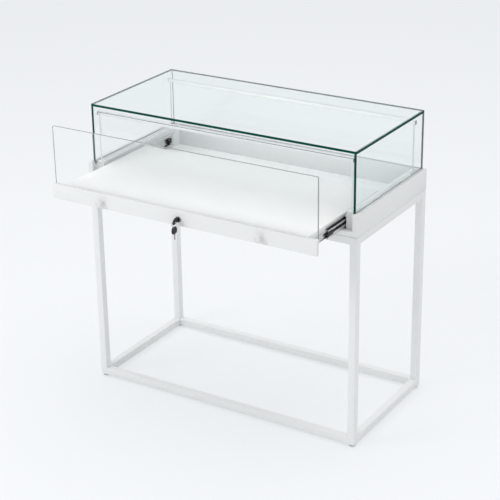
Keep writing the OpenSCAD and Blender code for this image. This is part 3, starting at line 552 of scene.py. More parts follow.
# %% [markdown]
# Every made piece ends the same way: its mesh gets finishes, it is linked to the scene, it rides on a body
# and it stands for the node that it replaces. Smooth shading with sharp edges above a set angle keeps flat
# faces flat and round ones round.

# %% Putting a piece in the scene
SHARP_FROM = math.radians(35)


def place_piece(name, mesh, finishes, body, slot, *replaced):
    mesh.name = name
    for finish in finishes:
        mesh.materials.append(finish)
    mesh.shade_smooth()
    mesh.set_sharp_from_angle(angle=SHARP_FROM)
    piece = bpy.data.objects.new(name, mesh)
    bpy.context.scene.collection.objects.link(piece)
    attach(piece, body)
    if replaced:
        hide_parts(*replaced)
    return piece


def mesh_from(bm):
    bmesh.ops.recalc_face_normals(bm, faces=bm.faces[:])
    mesh = bpy.data.meshes.new("piece")
    bm.to_mesh(mesh)
    bm.free()
    return mesh


def stand_in(name, node, bm, finish=None, slot=None):
    """A piece that takes a node's place and body, and its finish if no other is given. The slot is not used.
    """
    finishes = [finish or finish_of(node)]
    return place_piece(name, mesh_from(bm), finishes, body_of[node], slot or slot_of[node], node)


print("bodies that pieces ride on:", sorted(set(body_of.values())))

# %% [markdown]
# A pane of glass has an arris: a narrow flat ground along each edge so that it doesn't cut. It catches the
# light as a thin bright line. Each pane is a box of the packed size whose edges are bevelled in mesh code,
# and it stays a hair clear of its neighbour, where the real panes are bonded. A side pane's foot isn't
# marked as rim, because it stands in its white groove and shows no green.

# %% Panes of the hood
BOND = 0.00005
ARRIS = 0.0005
PLAIN_FOOT = 0.003


def block_mesh(low, high):
    bm = bmesh.new()
    bmesh.ops.create_cube(bm, size=1.0)
    for vert in bm.verts:
        for axis in range(3):
            vert.co[axis] = low[axis] if vert.co[axis] < 0 else high[axis]
    return bm


def mark_rim(bm, is_rim):
    rim = bm.faces.layers.float.new("rim")
    for face in bm.faces:
        face[rim] = 1.0 if is_rim(face) else 0.0


def arrised_pane(node):
    low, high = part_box(node)
    low, high = low + Vector((BOND,) * 3), high - Vector((BOND,) * 3)
    bm = block_mesh(low, high)
    bmesh.ops.bevel(bm, geom=bm.edges[:], offset=ARRIS, segments=1, affect="EDGES")
    widest = max(face.calc_area() for face in bm.faces)
    foot = 0 if node == "glass_top" else low.z + PLAIN_FOOT
    mark_rim(bm, lambda face: face.calc_area() < 0.9 * widest and face.calc_center_median().z > foot)
    return stand_in("pane_" + node.removeprefix("glass_"), node, bm)


panes = [arrised_pane(node) for node in ("glass_top", "glass_left", "glass_right", "glass_back")]
print("panes:", [p.name for p in panes])

# %% [markdown]
# The front glass rides on the drawer. Its upper corners are rounded and its edges are ground, not polished,
# so they look grey. Its outline is drawn as points, filled, and pushed to its thickness, and then only the
# rim is bevelled.

# %% Front glass
CORNER = 0.003


def arc(u, v, radius, start, end, steps=6):
    """Points round a middle, from one angle in degrees to another."""
    angles = [math.radians(start + (end - start) * k / steps) for k in range(steps + 1)]
    return [(u + radius * math.cos(a), v + radius * math.sin(a)) for a in angles]


def front_pane():
    low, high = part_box("front_glass")
    outline = [(low.x, low.z), (high.x, low.z)]
    outline += arc(high.x - CORNER, high.z - CORNER, CORNER, 0, 90)
    outline += arc(low.x + CORNER, high.z - CORNER, CORNER, 90, 180)
    bm = bmesh.new()
    face = bm.faces.new([bm.verts.new((x, low.y, z)) for x, z in outline])
    pushed = bmesh.ops.extrude_face_region(bm, geom=[face])
    for item in pushed["geom"]:
        if isinstance(item, bmesh.types.BMVert):
            item.co.y = high.y
    bmesh.ops.recalc_face_normals(bm, faces=bm.faces[:])
    rim = [e for e in bm.edges if any(abs(f.normal.y) > 0.9 for f in e.link_faces)]
    bmesh.ops.bevel(bm, geom=rim, offset=ARRIS, segments=1, affect="EDGES")
    mark_rim(bm, lambda face: abs(face.normal.y) < 0.99)
    return stand_in("pane_front", "front_glass", bm, front_glass)


front = front_pane()
print("front glass:", len(front.data.polygons), "faces")

# %% [markdown]
# Many pieces below are built from rings of points, with a wall of four-sided faces from each ring to the
# next. One helper draws a box with round corners as such a ring, and another makes the wall.

# %% Rings and walls
def rounded_box(half_x, half_y, corner, steps=4, x=0.0, y=0.0):
    """The outline of a box with round corners, about a middle."""
    points = []
    for quarter, (to_x, to_y) in enumerate(((1, 1), (-1, 1), (-1, -1), (1, -1))):
        points += arc(x + to_x * (half_x - corner), y + to_y * (half_y - corner), corner,
                      90 * quarter, 90 * quarter + 90, steps)
    return points


def wall_between(bm, first, second):
    """Joins two rings of as many points by a wall of four-sided faces."""
    for k in range(len(first)):
        j = (k + 1) % len(first)
        bm.faces.new((first[k], first[j], second[j], second[k]))


print("a box with round corners has", len(rounded_box(1, 1, 0.1)), "points")

# %% [markdown]
# The stand is welded from square tube. A tube's corners are rounded by the rollers, and powder coat rounds
# them a little more, which gives each edge a soft highlight. A bevel on the packed mesh would do, but a
# tube is simpler to make anew: one rounded square outside, one inside, and walls between its two ends. Each
# rail runs a little into the leg, where the weld fills the corner.

# %% Stand tubes
TUBE_WALL = 0.0015
TUBE_CORNER, INNER_CORNER = 0.0022, 0.0005


def tube_mesh(low, high, run_in):
    size = high - low
    along = max(range(3), key=lambda axis: size[axis])
    across = [axis for axis in range(3) if axis != along]
    middle = (low + high) / 2
    half = size[across[0]] / 2
    bm = bmesh.new()
    rings = []
    for end in (low[along] - run_in, high[along] + run_in):
        for inset, corner in ((0, TUBE_CORNER), (TUBE_WALL, INNER_CORNER)):
            ring = []
            for a, b in rounded_box(half - inset, half - inset, corner):
                place = Vector(middle)
                place[across[0]] += a
                place[across[1]] += b
                place[along] = end
                ring.append(bm.verts.new(place))
            rings.append(ring)
    near_out, near_in, far_out, far_in = rings
    for first, second in ((near_out, far_out), (far_out, far_in), (far_in, near_in), (near_in, near_out)):
        wall_between(bm, first, second)
    return bm


tubes = []
for node in frame["nodes"]:
    if node.startswith(("leg_", "bottom_rail_", "top_rail_")):
        run_in = 0.0 if node.startswith("leg_") else TUBE_CORNER
        tubes.append(stand_in("tube_" + node, node, tube_mesh(*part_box(node), run_in)))
print("tubes:", len(tubes), "of", len(tubes[0].data.polygons), "faces each")

# %% [markdown]
# A packed mesh is loose triangles, whose neighbours don't share their points, and it is never changed. A
# copy of it is joined at its points and has its flat faces merged. After that it can be bevelled, or
# searched for the solids in it, as any mesh can.

# %% Copies of packed meshes
SAME_POINT = 2e-6
NEARLY_FLAT = math.radians(0.5)


def joined_copy(node):
    bm = bmesh.new()
    bm.from_mesh(frame["nodes"][node].data)
    bmesh.ops.remove_doubles(bm, verts=bm.verts[:], dist=SAME_POINT)
    bmesh.ops.recalc_face_normals(bm, faces=bm.faces[:])
    bmesh.ops.dissolve_limit(bm, angle_limit=NEARLY_FLAT, verts=bm.verts[:], edges=bm.edges[:],
                             delimit={"NORMAL"})
    return bm


floor_copy = joined_copy("body_floor")
print("floor sheet:", len(frame["nodes"]["body_floor"].data.polygons), "triangles make",
      len(floor_copy.faces), "faces")
floor_copy.free()

# %% [markdown]
# Folded sheet never has a knife edge. On the body, the fascia, the deck and the other flat-sided pieces, the
# long outer edges of the copy get a small round. Short edges, such as those round a drilled hole, are left
# as they are. The body's outer lower edge is also lifted by a millimetre, because the photograph shows a
# fine line over the stand.

# %% Softened edges
NEARLY = 1e-5
FOLD = math.radians(40)
EDGE_GAP = 0.0012
body_low, body_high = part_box("body_side_left")


def lift_lower_edge(bm):
    """Raises the outer lower edge of the case body, which leaves a fine gap above the stand."""
    for vert in bm.verts:
        x, y, z = vert.co
        outside = abs(x) > -body_low.x - NEARLY or y > body_high.y - NEARLY or y < body_low.y + NEARLY
        if outside and z < body_low.z + NEARLY:
            vert.co.z += EDGE_GAP


def bevel(bm, edges, radius, **more):
    bmesh.ops.bevel(bm, geom=edges, offset=radius, segments=2, profile=0.5, affect="EDGES", **more)


def soften(node, radius, shortest=0.010):
    bm = joined_copy(node)
    if node in ("body_side_left", "body_side_right", "body_back", "body_front_rail"):
        lift_lower_edge(bm)
    edges = [e for e in bm.edges if e.is_manifold and e.is_convex and e.calc_length() > shortest
             and e.calc_face_angle(0) > FOLD]
    bevel(bm, edges, radius, clamp_overlap=False)
    return stand_in("dressed_" + node, node, bm)


SOFT_EDGES = {
    "body_floor": 0.0004, "body_side_left": 0.0006, "body_side_right": 0.0006, "body_back": 0.0006,
    "body_front_rail": 0.0006, "fascia": 0.0008, "glass_rail": 0.0004, "deck_board": 0.0007,
    "light_bar_front": 0.0003, "light_bar_back": 0.0003, "slide_bumpers": 0.0006,
    "led_driver": 0.0015, "lock_cam": 0.0002, "light_diffusers": 0.0003,
}
SHORT_EDGE = 0.004
softened = [soften(node, radius) for node, radius in SOFT_EDGES.items()]
softened.append(soften("light_end_caps", 0.0005, SHORT_EDGE))
print("softened:", len(softened), "pieces")

# %% [markdown]
# Slide members and the drawer's frame are long pieces with one section, rolled or folded from sheet. Such a
# piece needs its section as a closed outline, which is pushed from one end to the other. A slide's section
# is drawn from the body's wall: in mm, u runs from the wall towards the drawer and v up from the slide's
# middle. A line moved sideways by half the sheet's thickness gives one face, and moved the other way the
# other.

# %% Sections
slide_low, slide_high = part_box("slide_outer_members")
SLIDE_MIDDLE_Z = (slide_low.z + slide_high.z) / 2 / MM
WALL_X = slide_high.x / MM


def at_height(v):
    return (SLIDE_MIDDLE_Z + v) * MM


def beside_wall(side):
    """Turns a section's u and v, and a place along the slide, into a point on one side of the case."""
    return lambda u, v, y: Vector((side * (WALL_X - u) * MM, y, at_height(v)))


def set_off(line, distance):
    """The line moved sideways by a distance."""
    moved = []
    for k, (u, v) in enumerate(line):
        (u0, v0), (u1, v1) = line[max(k - 1, 0)], line[min(k + 1, len(line) - 1)]
        length = math.hypot(u1 - u0, v1 - v0)
        moved.append((u - (v1 - v0) / length * distance, v + (u1 - u0) / length * distance))
    return moved


def pushed_outline(bm, outline, to_place, ends):
    """Adds a closed outline, pushed from one end to the other."""
    near, far = [[bm.verts.new(to_place(a, b, end)) for a, b in outline] for end in ends]
    wall_between(bm, near, far)
    bm.faces.new(near)
    bm.faces.new(far)


print("the slides' middle is", round(SLIDE_MIDDLE_Z, 2), "mm up, and the wall", round(WALL_X, 2), "mm out")

# %% [markdown]
# Slide members are rolled from strip into grooved channels, and the balls run in the grooves. The packed
# model keeps them as flat strips, so here each one gets its rolled section. The middle line of the strip's
# upper half is drawn with short arcs, and the lower half mirrors it. The middle members have painted shade:
# near-black bands on the recess of the web and on the upper edge, where shadow falls.

# %% Rolled slide members
STRIP = 1.2


def rolled_outline(upper_half):
    lower_half = [(u, -v) for u, v in reversed(upper_half)]
    line = lower_half + upper_half
    return set_off(line, STRIP / 2) + set_off(line, -STRIP / 2)[::-1]


def slide_member(name, node, upper_half, finish=None):
    low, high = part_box(node)
    bm = bmesh.new()
    for side in (-1, 1):
        pushed_outline(bm, rolled_outline(upper_half), beside_wall(side), (low.y, high.y))
    return stand_in(name, node, bm, finish)


OUTER_SECTION = ([(0.6, 0.5), (0.6, 6), (0.9, 7), (0.9, 12), (0.6, 13)] + arc(2.4, 18.6, 1.8, 180, 100, 4)
                 + arc(6.4, 18.9, 3.0, 150, 15, 8))
MIDDLE_SECTION = ([(4.4, 0.5)] + arc(6.2, 14.1, 1.8, 180, 100, 5) + [(7.3, 15.9)]
                  + arc(8.6, 12.9, 3.0, 88, 40, 5))
INNER_SECTION = [(12.1, 0.5)] + arc(10.7, 8.5, 1.4, 0, 80, 4) + arc(8.6, 12.9, 3.0, 292, 245, 5)
# Painted shade on the middle members, in mm from the slides' middle.
PAINTED_SHADE_BANDS = (-4.0, 6.0), (12.6, 20)
shade_painted_zinc = zinc_steel("greased slide zinc", MARKS_ALONG_SLIDE,
                          [(at_height(lowest), at_height(highest)) for lowest, highest in PAINTED_SHADE_BANDS])
members = [
    slide_member("rolled_outer_members", "slide_outer_members", OUTER_SECTION),
    slide_member("rolled_middle_members", "slide_middle_members", MIDDLE_SECTION, shade_painted_zinc),
    slide_member("rolled_inner_members", "slide_inner_members", INNER_SECTION),
]
print("slide members:", [len(m.data.polygons) for m in members], "faces")

# %% [markdown]
# A black plastic stop is clipped on the front end of each middle member. Its block meets the drawer, and
# its tongue lies in the member's back. Two pushed outlines make it, a hair apart, and a bevel gives them a
# moulding's soft edges. Each is given by its reach in u, half its height in v and its length, in mm.

# %% Slide stops
STOP_BLOCK, STOP_TONGUE = ((1.7, 5.2), 9.0, 3.0), ((1.7, 3.7), 7.5, 29.0)
STOP_HAIR, STOP_EDGE = 0.02, 0.0004


def box_loop(x0, y0, x1, y1):
    return [(x0, y0), (x1, y0), (x1, y1), (x0, y1)]


def slide_stops():
    bm = bmesh.new()
    for side in (-1, 1):
        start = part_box("slide_stops")[0].y
        for (near, far), half, length in (STOP_BLOCK, STOP_TONGUE):
            ends = (start, start + length * MM)
            pushed_outline(bm, box_loop(near, -half, far, half), beside_wall(side), ends)
            start += (length + STOP_HAIR) * MM
    bevel(bm, bm.edges[:], STOP_EDGE)
    return stand_in("clipped_slide_stops", "slide_stops", bm)


stops = slide_stops()
print("slide stops:", len(stops.data.polygons), "faces")

# %% [markdown]
# The drawer frame is folded from the same sheet as the body: a wall with a flange on top, which the deck
# lies on, and a small foot. Its section has an easy bend at each corner. The two sides run from end to end,
# with the front and the back between them, as the packed frame has it.

# %% Drawer frame
SHEET, SEAM = 1.5, 0.1
FLANGE, FOOT = 20.0, 12.0


def folded_outline(height, flange, foot):
    """A wall whose face lies at 0, with a flange and a foot that point to minus."""
    half, bend = SHEET / 2, SHEET
    line = [(-foot, half)] + arc(-bend - half, half + bend, bend, -90, 0) if foot else [(-half, 0)]
    line += arc(-bend - half, height - half - bend, bend, 0, 90) + [(-flange, height - half)]
    return set_off(line, half) + set_off(line, -half)[::-1]


def drawer_frame():
    low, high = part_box("drawer_frame")
    height = (high.z - low.z) / MM
    bm = bmesh.new()
    for side in (-1, 1):
        pushed_outline(bm, folded_outline(height, FLANGE, FOOT),
                       lambda a, b, y, side=side: Vector((side * (high.x + a * MM), y, low.z + b * MM)),
                       (low.y, high.y))
    apart = SHEET + SEAM
    inside = high.x - apart * MM
    pushed_outline(bm, folded_outline(height - apart, FLANGE, 0),
                   lambda a, b, x: Vector((x, low.y - a * MM, low.z + b * MM)), (-inside, inside))
    pushed_outline(bm, folded_outline(height - 2 * apart, FLANGE, FOOT),
                   lambda a, b, x: Vector((x, high.y + a * MM, low.z + (apart + b) * MM)), (-inside, inside))
    return stand_in("folded_drawer_frame", "drawer_frame", bm)


folded_frame = drawer_frame()
print("drawer frame:", len(folded_frame.data.polygons), "faces")

# %% [markdown]
# Geometry Nodes make what repeats. A recipe is a tree with named inputs: points go in, and a shape stands
# on each of them. It ends in plain geometry of one finish, not in instances.

# %% Recipes
class Recipe(Tree):
    """A Geometry Nodes tree with named inputs, which ends in plain geometry of one finish."""

    def __init__(self, name, inputs):
        super().__init__(bpy.data.node_groups.new(name, "GeometryNodeTree"))
        self.add_socket("Points", "Geometry", "INPUT")
        for label, kind in inputs.items():
            self.add_socket(label, kind, "INPUT")
        self.add_socket("Piece", "Geometry", "OUTPUT")

    def add_socket(self, label, kind, way):
        self.tree.interface.new_socket(label, in_out=way, socket_type="NodeSocket" + kind)

    def given(self, label):
        return self.node("NodeGroupInput", output=label)

    def copies(self, points, instance, **sockets):
        return self.node("GeometryNodeInstanceOnPoints", {}, {
            "Points": points, "Instance": instance, **sockets})

    def moved(self, shape, **sockets):
        return self.node("GeometryNodeTransform", {}, {"Geometry": shape, **sockets})

    def end(self, shape, finish):
        plain = self.node("GeometryNodeRealizeInstances", {}, {"Geometry": shape})
        finished = self.node("GeometryNodeSetMaterial", {}, {"Geometry": plain, "Material": finish})
        self.node("NodeGroupOutput", {}, {"Piece": finished})
        return self


print("a recipe's steps:", [name for name in vars(Recipe) if not name.startswith("_")])

# %% [markdown]
# To grow a recipe is to give it points and sizes and to take a plain mesh from it. The modifier's inputs are
# set by the sockets' identifiers, before the object is first evaluated. The object with the modifier is
# then thrown away, and only its mesh stays.

# %% Growing a recipe
def grow(recipe, given, points=(), marks=None):
    """The plain mesh that a recipe makes on some points. Marks are values that each point carries."""
    mesh = bpy.data.meshes.new("points")
    mesh.from_pydata([tuple(p) for p in points], [], [])
    for name, (kind, key, values) in (marks or {}).items():
        carried = mesh.attributes.new(name, kind, "POINT")
        for item, value in zip(carried.data, values):
            setattr(item, key, value)
    seed = bpy.data.objects.new("seed", mesh)
    bpy.context.scene.collection.objects.link(seed)
    maker = seed.modifiers.new("maker", "NODES")
    maker.node_group = recipe.tree
    for item in recipe.tree.interface.items_tree:
        if item.in_out == "INPUT" and item.name in given:
            maker[item.identifier] = given[item.name]
    depsgraph = bpy.context.evaluated_depsgraph_get()
    made = bpy.data.meshes.new_from_object(seed.evaluated_get(depsgraph), depsgraph=depsgraph)
    bpy.data.objects.remove(seed)
    return made


print("recipes can start from", len(frame["nodes"]), "packed meshes, or from points")

# %% [markdown]
# A packed node may hold many small solids, such as the screws of the drawer. Each solid is a group of
# joined points of its own, so a walk along the edges from a first point finds it, and its box tells where
# it lies and how large it is.

# %% Groups of points
def groups_of(bm):
    """Groups of joined points, in the mesh's own order."""
    reached, groups = set(), []
    for first in bm.verts:
        if first in reached:
            continue
        reached.add(first)
        group, edge = [], [first]
        while edge:
            vert = edge.pop()
            group.append(vert)
            for link in vert.link_edges:
                other = link.other_vert(vert)
                if other not in reached:
                    reached.add(other)
                    edge.append(other)
        groups.append(group)
    return groups


def box_of(group):
    low = Vector([min(v.co[axis] for v in group) for axis in range(3)])
    high = Vector([max(v.co[axis] for v in group) for axis in range(3)])
    return low, high


caps = joined_copy("light_end_caps")
print("end caps found:", len(groups_of(caps)))
caps.free()

# %% [markdown]
# The balls of the slides are the first to be grown. The packed mesh says where each ball lies, and the rest
# of that mesh is the cages that hold them apart.

# %% Balls and cages
BALL = 0.0046


def ball_recipe():
    recipe = Recipe("balls", {"Radius": "Float"})
    ball = recipe.node("GeometryNodeMeshUVSphere", {}, {
        "Segments": 16, "Rings": 10, "Radius": recipe.given("Radius")})
    return recipe.end(recipe.copies(recipe.given("Points"), ball), ball_steel)


ball_maker = ball_recipe()


def cages_and_balls(node):
    bm = joined_copy(node)
    places = []
    for group in groups_of(bm):
        low, high = box_of(group)
        if max(high - low) < 1.2 * BALL:
            places.append((low + high) / 2)
            bmesh.ops.delete(bm, geom=group, context="VERTS")
    stem = node.removesuffix("_ball_cages")
    cage = stand_in("cages_" + stem, node, bm)
    mesh = grow(ball_maker, {"Radius": BALL / 2}, places)
    rolling = place_piece("balls_" + stem, mesh, [], body_of[node], slot_of[node], node)
    return len(places), cage, rolling


for node in ("outer_ball_cages", "inner_ball_cages"):
    count, cage, rolling = cages_and_balls(node)
    print(node, "holds", count, "balls of", len(rolling.data.polygons) // max(count, 1), "faces")

# %% [markdown]
# The screws are button heads and countersunk flat heads, all with a hex socket. Each kind of head, and the
# nut, is made once as a stack of rings, 1 unit in radius and 1 high. A ring of the socket or of the nut has
# as many points as a round one, moved onto six straight sides, so that neighbours join point by point.

# %% Heads and a nut
HEX_FLATS = 0.866


def ringed_mesh(rings, filled=True):
    """Joins rings of as many points each, and fills the two end rings, or else joins them too."""
    bm = bmesh.new()
    made = [[bm.verts.new(p) for p in ring] for ring in rings]
    for first, second in list(zip(made, made[1:])) + ([] if filled else [(made[-1], made[0])]):
        wall_between(bm, first, second)
    if filled:
        bm.faces.new(made[0][::-1])
        bm.faces.new(made[-1])
    return bm


def angles_round(count):
    return [2 * math.pi * k / count for k in range(count)]


def round_ring(radius, z, count=24):
    return [(radius * math.cos(a), radius * math.sin(a), z) for a in angles_round(count)]


def hex_ring(half_across, z, count=24):
    ring = []
    for a in angles_round(count):
        slant = (a + math.pi / 6) % (math.pi / 3) - math.pi / 6
        reach = half_across / math.cos(slant)
        ring.append((reach * math.cos(a), reach * math.sin(a), z))
    return ring


def template(name, bm):
    return bpy.data.objects.new(name, mesh_from(bm))


button_head = template("button head", ringed_mesh([
    round_ring(0.9, 0), round_ring(1.0, 0.12), round_ring(1.0, 0.35), round_ring(0.93, 0.66),
    round_ring(0.76, 0.90), round_ring(0.55, 1.0), hex_ring(0.40, 1.0), hex_ring(0.37, 0.45)]))
flat_head = template("flat head", ringed_mesh([
    round_ring(0.58, 0), round_ring(1.0, 0.92), round_ring(1.0, 1.0), hex_ring(0.45, 1.0),
    hex_ring(0.42, 0.3)]))
hex_nut = template("hex nut", ringed_mesh([
    hex_ring(HEX_FLATS, 0.06), hex_ring(HEX_FLATS, 0.94), round_ring(0.84, 1.0), round_ring(0.60, 1.0),
    round_ring(0.56, 0.9), round_ring(0.56, 0.1), round_ring(0.60, 0.0), round_ring(0.84, 0.0)],
    filled=False))
print("templates:", [(t.name, len(t.data.polygons)) for t in (button_head, flat_head, hex_nut)])

# %% [markdown]
# The screws and nuts repeat, but each has its own place, direction and size. Points can carry these as
# named attributes, so one recipe stands a template on every point, turned to the point's aim and scaled to
# its sizes. The shanks are thin cylinders that start behind the heads.

# %% Hardware recipes
def mark(recipe, name, kind="FLOAT"):
    return recipe.node("GeometryNodeInputNamedAttribute", {"data_type": kind}, {"Name": name})


def aimed_copies(recipe, instance, width, length):
    """Stands an instance on each point, turned to the point's aim and scaled to its sizes."""
    turn = recipe.node("FunctionNodeAlignRotationToVector", {"axis": "Z"},
                       {"Vector": mark(recipe, "aim", "FLOAT_VECTOR")})
    scale = recipe.node("ShaderNodeCombineXYZ", {}, {"X": width, "Y": width, "Z": length})
    return recipe.copies(recipe.given("Points"), instance, Rotation=turn, Scale=scale)


def hardware_recipe(name, has_shank):
    recipe = Recipe(name, {"Template": "Object", "Shank sides": "Int"})
    chosen = recipe.given("Template")
    shape = recipe.node("GeometryNodeObjectInfo", {}, {"Object": chosen}, output="Geometry")
    made = aimed_copies(recipe, shape, mark(recipe, "wide"), mark(recipe, "tall"))
    if has_shank:
        rod = recipe.node("GeometryNodeMeshCylinder", {}, {
            "Vertices": recipe.given("Shank sides"), "Radius": 1.0, "Depth": 1.0})
        behind = recipe.moved(rod, Translation=(0, 0, -0.5))
        shanks = aimed_copies(recipe, behind, mark(recipe, "shank"), mark(recipe, "long"))
        made = recipe.node("GeometryNodeJoinGeometry", {}, {0: [made, shanks]})
    return recipe.end(made, screw_zinc)


screw_maker = hardware_recipe("screws", has_shank=True)
nut_maker = hardware_recipe("nuts", has_shank=False)
print("recipes:", screw_maker.tree.name, "and", nut_maker.tree.name)

# %% [markdown]
# The packed solids say where the hardware goes. A solid's box is square when looked at along its own axis,
# or six-sided in proportion for a nut. In a screw the points far from the axis are the head's, and the end
# of the solid that they touch is the head's face. A countersunk head has such points at its face only.

# %% Reading the hardware
NOT_ROUND = 0.93


def read_hardware(bm):
    """Sorts a node's solids into button heads, flat heads and nuts, with the sizes that each needs."""
    found = {"button": [], "flat": [], "nut": []}
    for group in groups_of(bm):
        low, high = box_of(group)
        size, middle = high - low, (low + high) / 2

        def evenness(axis):
            a, b = sorted(size[k] for k in range(3) if k != axis)
            return min(abs(a / b - 1), abs(a / b - HEX_FLATS))

        axis = min(range(3), key=evenness)
        across = [k for k in range(3) if k != axis]
        radius = {v: math.hypot(*(v.co[k] - middle[k] for k in across)) for v in group}
        wide, thin = max(radius.values()), min(radius.values())
        aim, base = Vector((0, 0, 0)), Vector(middle)
        if min(size[k] for k in across) / max(size[k] for k in across) < NOT_ROUND:
            aim[axis], base[axis] = 1.0, low[axis]
            found["nut"].append({"place": base, "aim": aim, "wide": wide, "tall": size[axis]})
            continue
        rim = [v.co[axis] for v, r in radius.items() if r > 0.9 * wide]
        shank = [v.co[axis] for v, r in radius.items() if r < 1.1 * thin]
        way, face = (1, high[axis]) if max(rim) > high[axis] - NEARLY else (-1, low[axis])
        tall = min(way * (face - along) for along in shank)
        is_straight = any(way * (face - along) > 0.5 * tall for along in rim)
        aim[axis], base[axis] = way, face - way * tall
        found["button" if is_straight else "flat"].append({
            "place": base, "aim": aim, "wide": wide, "tall": tall, "shank": thin, "long": size[axis] - tall})
    return found


packed_screws = joined_copy("drawer_screws")
print("drawer screws:", {kind: len(solids) for kind, solids in read_hardware(packed_screws).items()})
packed_screws.free()

# %% [markdown]
# Each kind of screw or nut in a node is grown from its own template, and the kinds are then joined into one
# piece, which stands for the whole node. A screw's shank has 16 sides, which is enough for its size.

# %% Screws and nuts
SHANK_SIDES = 16


def grow_hardware(node):
    bm = joined_copy(node)
    kinds = read_hardware(bm)
    bm.free()
    whole = bmesh.new()
    for kind, piece, maker in (("button", button_head, screw_maker), ("flat", flat_head, screw_maker),
                               ("nut", hex_nut, nut_maker)):
        solids = kinds[kind]
        if not solids:
            continue
        marks = {"aim": ("FLOAT_VECTOR", "vector", [s["aim"] for s in solids])}
        for name in ("wide", "tall", "shank", "long"):
            marks[name] = ("FLOAT", "value", [s.get(name, 0.0) for s in solids])
        places = [s["place"] for s in solids]
        whole.from_mesh(grow(maker, {"Template": piece, "Shank sides": SHANK_SIDES}, places, marks))
    counts = {kind: len(solids) for kind, solids in kinds.items()}
    return counts, stand_in("hardware_" + node, node, whole)


for node in ("body_fasteners", "drawer_screws"):
    counts, hardware = grow_hardware(node)
    print(node, counts, len(hardware.data.polygons), "faces")

# %% [markdown]
# Turned pieces are made on a lathe: a half section is spun about an axis. The knob has a neck, a round head
# and a face that is dished a little, so that it doesn't flash like a flat disc. The lock's bezel is
# chamfered and stands on the fascia. Both are spun about the Y direction.

# %% Turned pieces
Y, Z = 1, 2


def spun(section, middle, axis, steps, bm=None, closed=False):
    """Spins (radius, along) points in mm about an axis through a middle. A radius of 0 makes a pole."""
    bm = bm or bmesh.new()
    side = [k for k in range(3) if k != axis]
    rings = []
    for radius, along in section:
        ring = []
        for a in angles_round(steps)[:None if radius > 0 else 1]:
            place = Vector(middle)
            place[side[0]] += radius * MM * math.cos(a)
            place[side[1]] += radius * MM * math.sin(a)
            place[axis] += along * MM
            ring.append(bm.verts.new(place))
        rings.append(ring)
    for first, second in list(zip(rings, rings[1:])) + ([(rings[-1], rings[0])] if closed else []):
        if len(first) == len(second):
            wall_between(bm, first, second)
            continue
        (pole,), ring = (first, second) if len(first) == 1 else (second, first)
        for k in range(steps):
            bm.faces.new((pole, ring[k], ring[(k + 1) % steps]))
    return bm


KNOB_SECTION = ([(0, 0), (6.5, 0)] + arc(7.7, 6.8, 1.2, 180, 90, 4) + arc(8.5, 12.0, 4.0, -90, 0)
                + arc(8.5, 17.0, 4.0, 0, 90) + [(6.0, 20.85), (3.0, 20.7), (0, 20.65)])


def knob(node):
    low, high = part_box(node)
    middle = Vector(((low.x + high.x) / 2, high.y, (low.z + high.z) / 2))
    section = [(radius, -out) for radius, out in KNOB_SECTION]
    return stand_in("turned_" + node, node, spun(section, middle, Y, steps=64))


knobs = [knob("knob_left"), knob("knob_right")]
print("knobs:", [tuple(round(v / MM, 1) for v in k.dimensions) for k in knobs], "mm")

# %% [markdown]
# The plug of the lock and the bow of a key are plates with a hole. Such a shape is awkward to spin or to
# push, so it is drawn as a flat curve, an outline with another inside it, which Blender fills, thickens and
# bevels. The curve is turned into a mesh before it is placed.

# %% Plates with holes
def plate_from_curves(loops, thickness, round_edge, matrix, bm=None):
    """A plate with holes, from closed loops of (x, y) points in mm. It lies in the matrix's own XY plane."""
    data = bpy.data.curves.new("plate", "CURVE")
    data.dimensions, data.fill_mode = "2D", "BOTH"
    data.extrude = (thickness / 2 - round_edge) * MM
    data.bevel_depth, data.bevel_resolution = round_edge * MM, 2
    data.offset = -round_edge * MM
    for loop in loops:
        spline = data.splines.new("POLY")
        spline.points.add(len(loop) - 1)
        for point, (x, y) in zip(spline.points, loop):
            point.co = (x * MM, y * MM, 0, 1)
        spline.use_cyclic_u = True
    holder = bpy.data.objects.new("plate", data)
    mesh = bpy.data.meshes.new_from_object(holder)
    bpy.data.objects.remove(holder)
    mesh.transform(matrix)
    bm = bm or bmesh.new()
    bm.from_mesh(mesh)
    bmesh.ops.remove_doubles(bm, verts=bm.verts[:], dist=1e-6)
    return bm


def round_loop(x, y, half_x, half_y, count=40):
    return [(x + half_x * math.cos(a), y + half_y * math.sin(a)) for a in angles_round(count)]


print("a round loop has", len(round_loop(0, 0, 1, 1)), "points")

# %% [markdown]
# The lock's face is two pieces: a bezel, which is fixed, and the plug with its keyway, which turns with the
# key. The bezel is spun. The front of the plug is a plate, a circle with the slot inside it, and a plain
# round part behind closes it.

# %% Lock
LEAN = math.radians(20)
PLUG_R, PLUG_FACE, PLUG_BACK, PLUG_EDGE = 4.95, 4.0, 2.0, 0.25
KEYWAY_W, KEYWAY_H = 2.6, 7.6
housing_low, housing_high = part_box("lock_housing")
lock_middle = Vector(((housing_low.x + housing_high.x) / 2, 0, (housing_low.z + housing_high.z) / 2))
fascia_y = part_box("fascia")[0].y


def lock_housing():
    back = (housing_high.y - fascia_y) / MM
    section = [(5.2, -3), (7.9, -3), (8.6, -2.8), (9.2, -2.2), (9.5, -1.4), (9.5, 0), (8.0, 0), (8.0, back),
               (5.2, back)]
    bm = spun(section, lock_middle + Vector((0, fascia_y, 0)), Y, steps=64, closed=True)
    return stand_in("turned_lock_housing", "lock_housing", bm)


def at_lock(y):
    """A plane square to the lock's axis, turned to the key's lean. Its Z points out of the lock."""
    facing = Matrix.Rotation(math.radians(90), 4, "X")
    return Matrix.Translation(lock_middle + Vector((0, y, 0))) @ Matrix.Rotation(LEAN, 4, "Y") @ facing


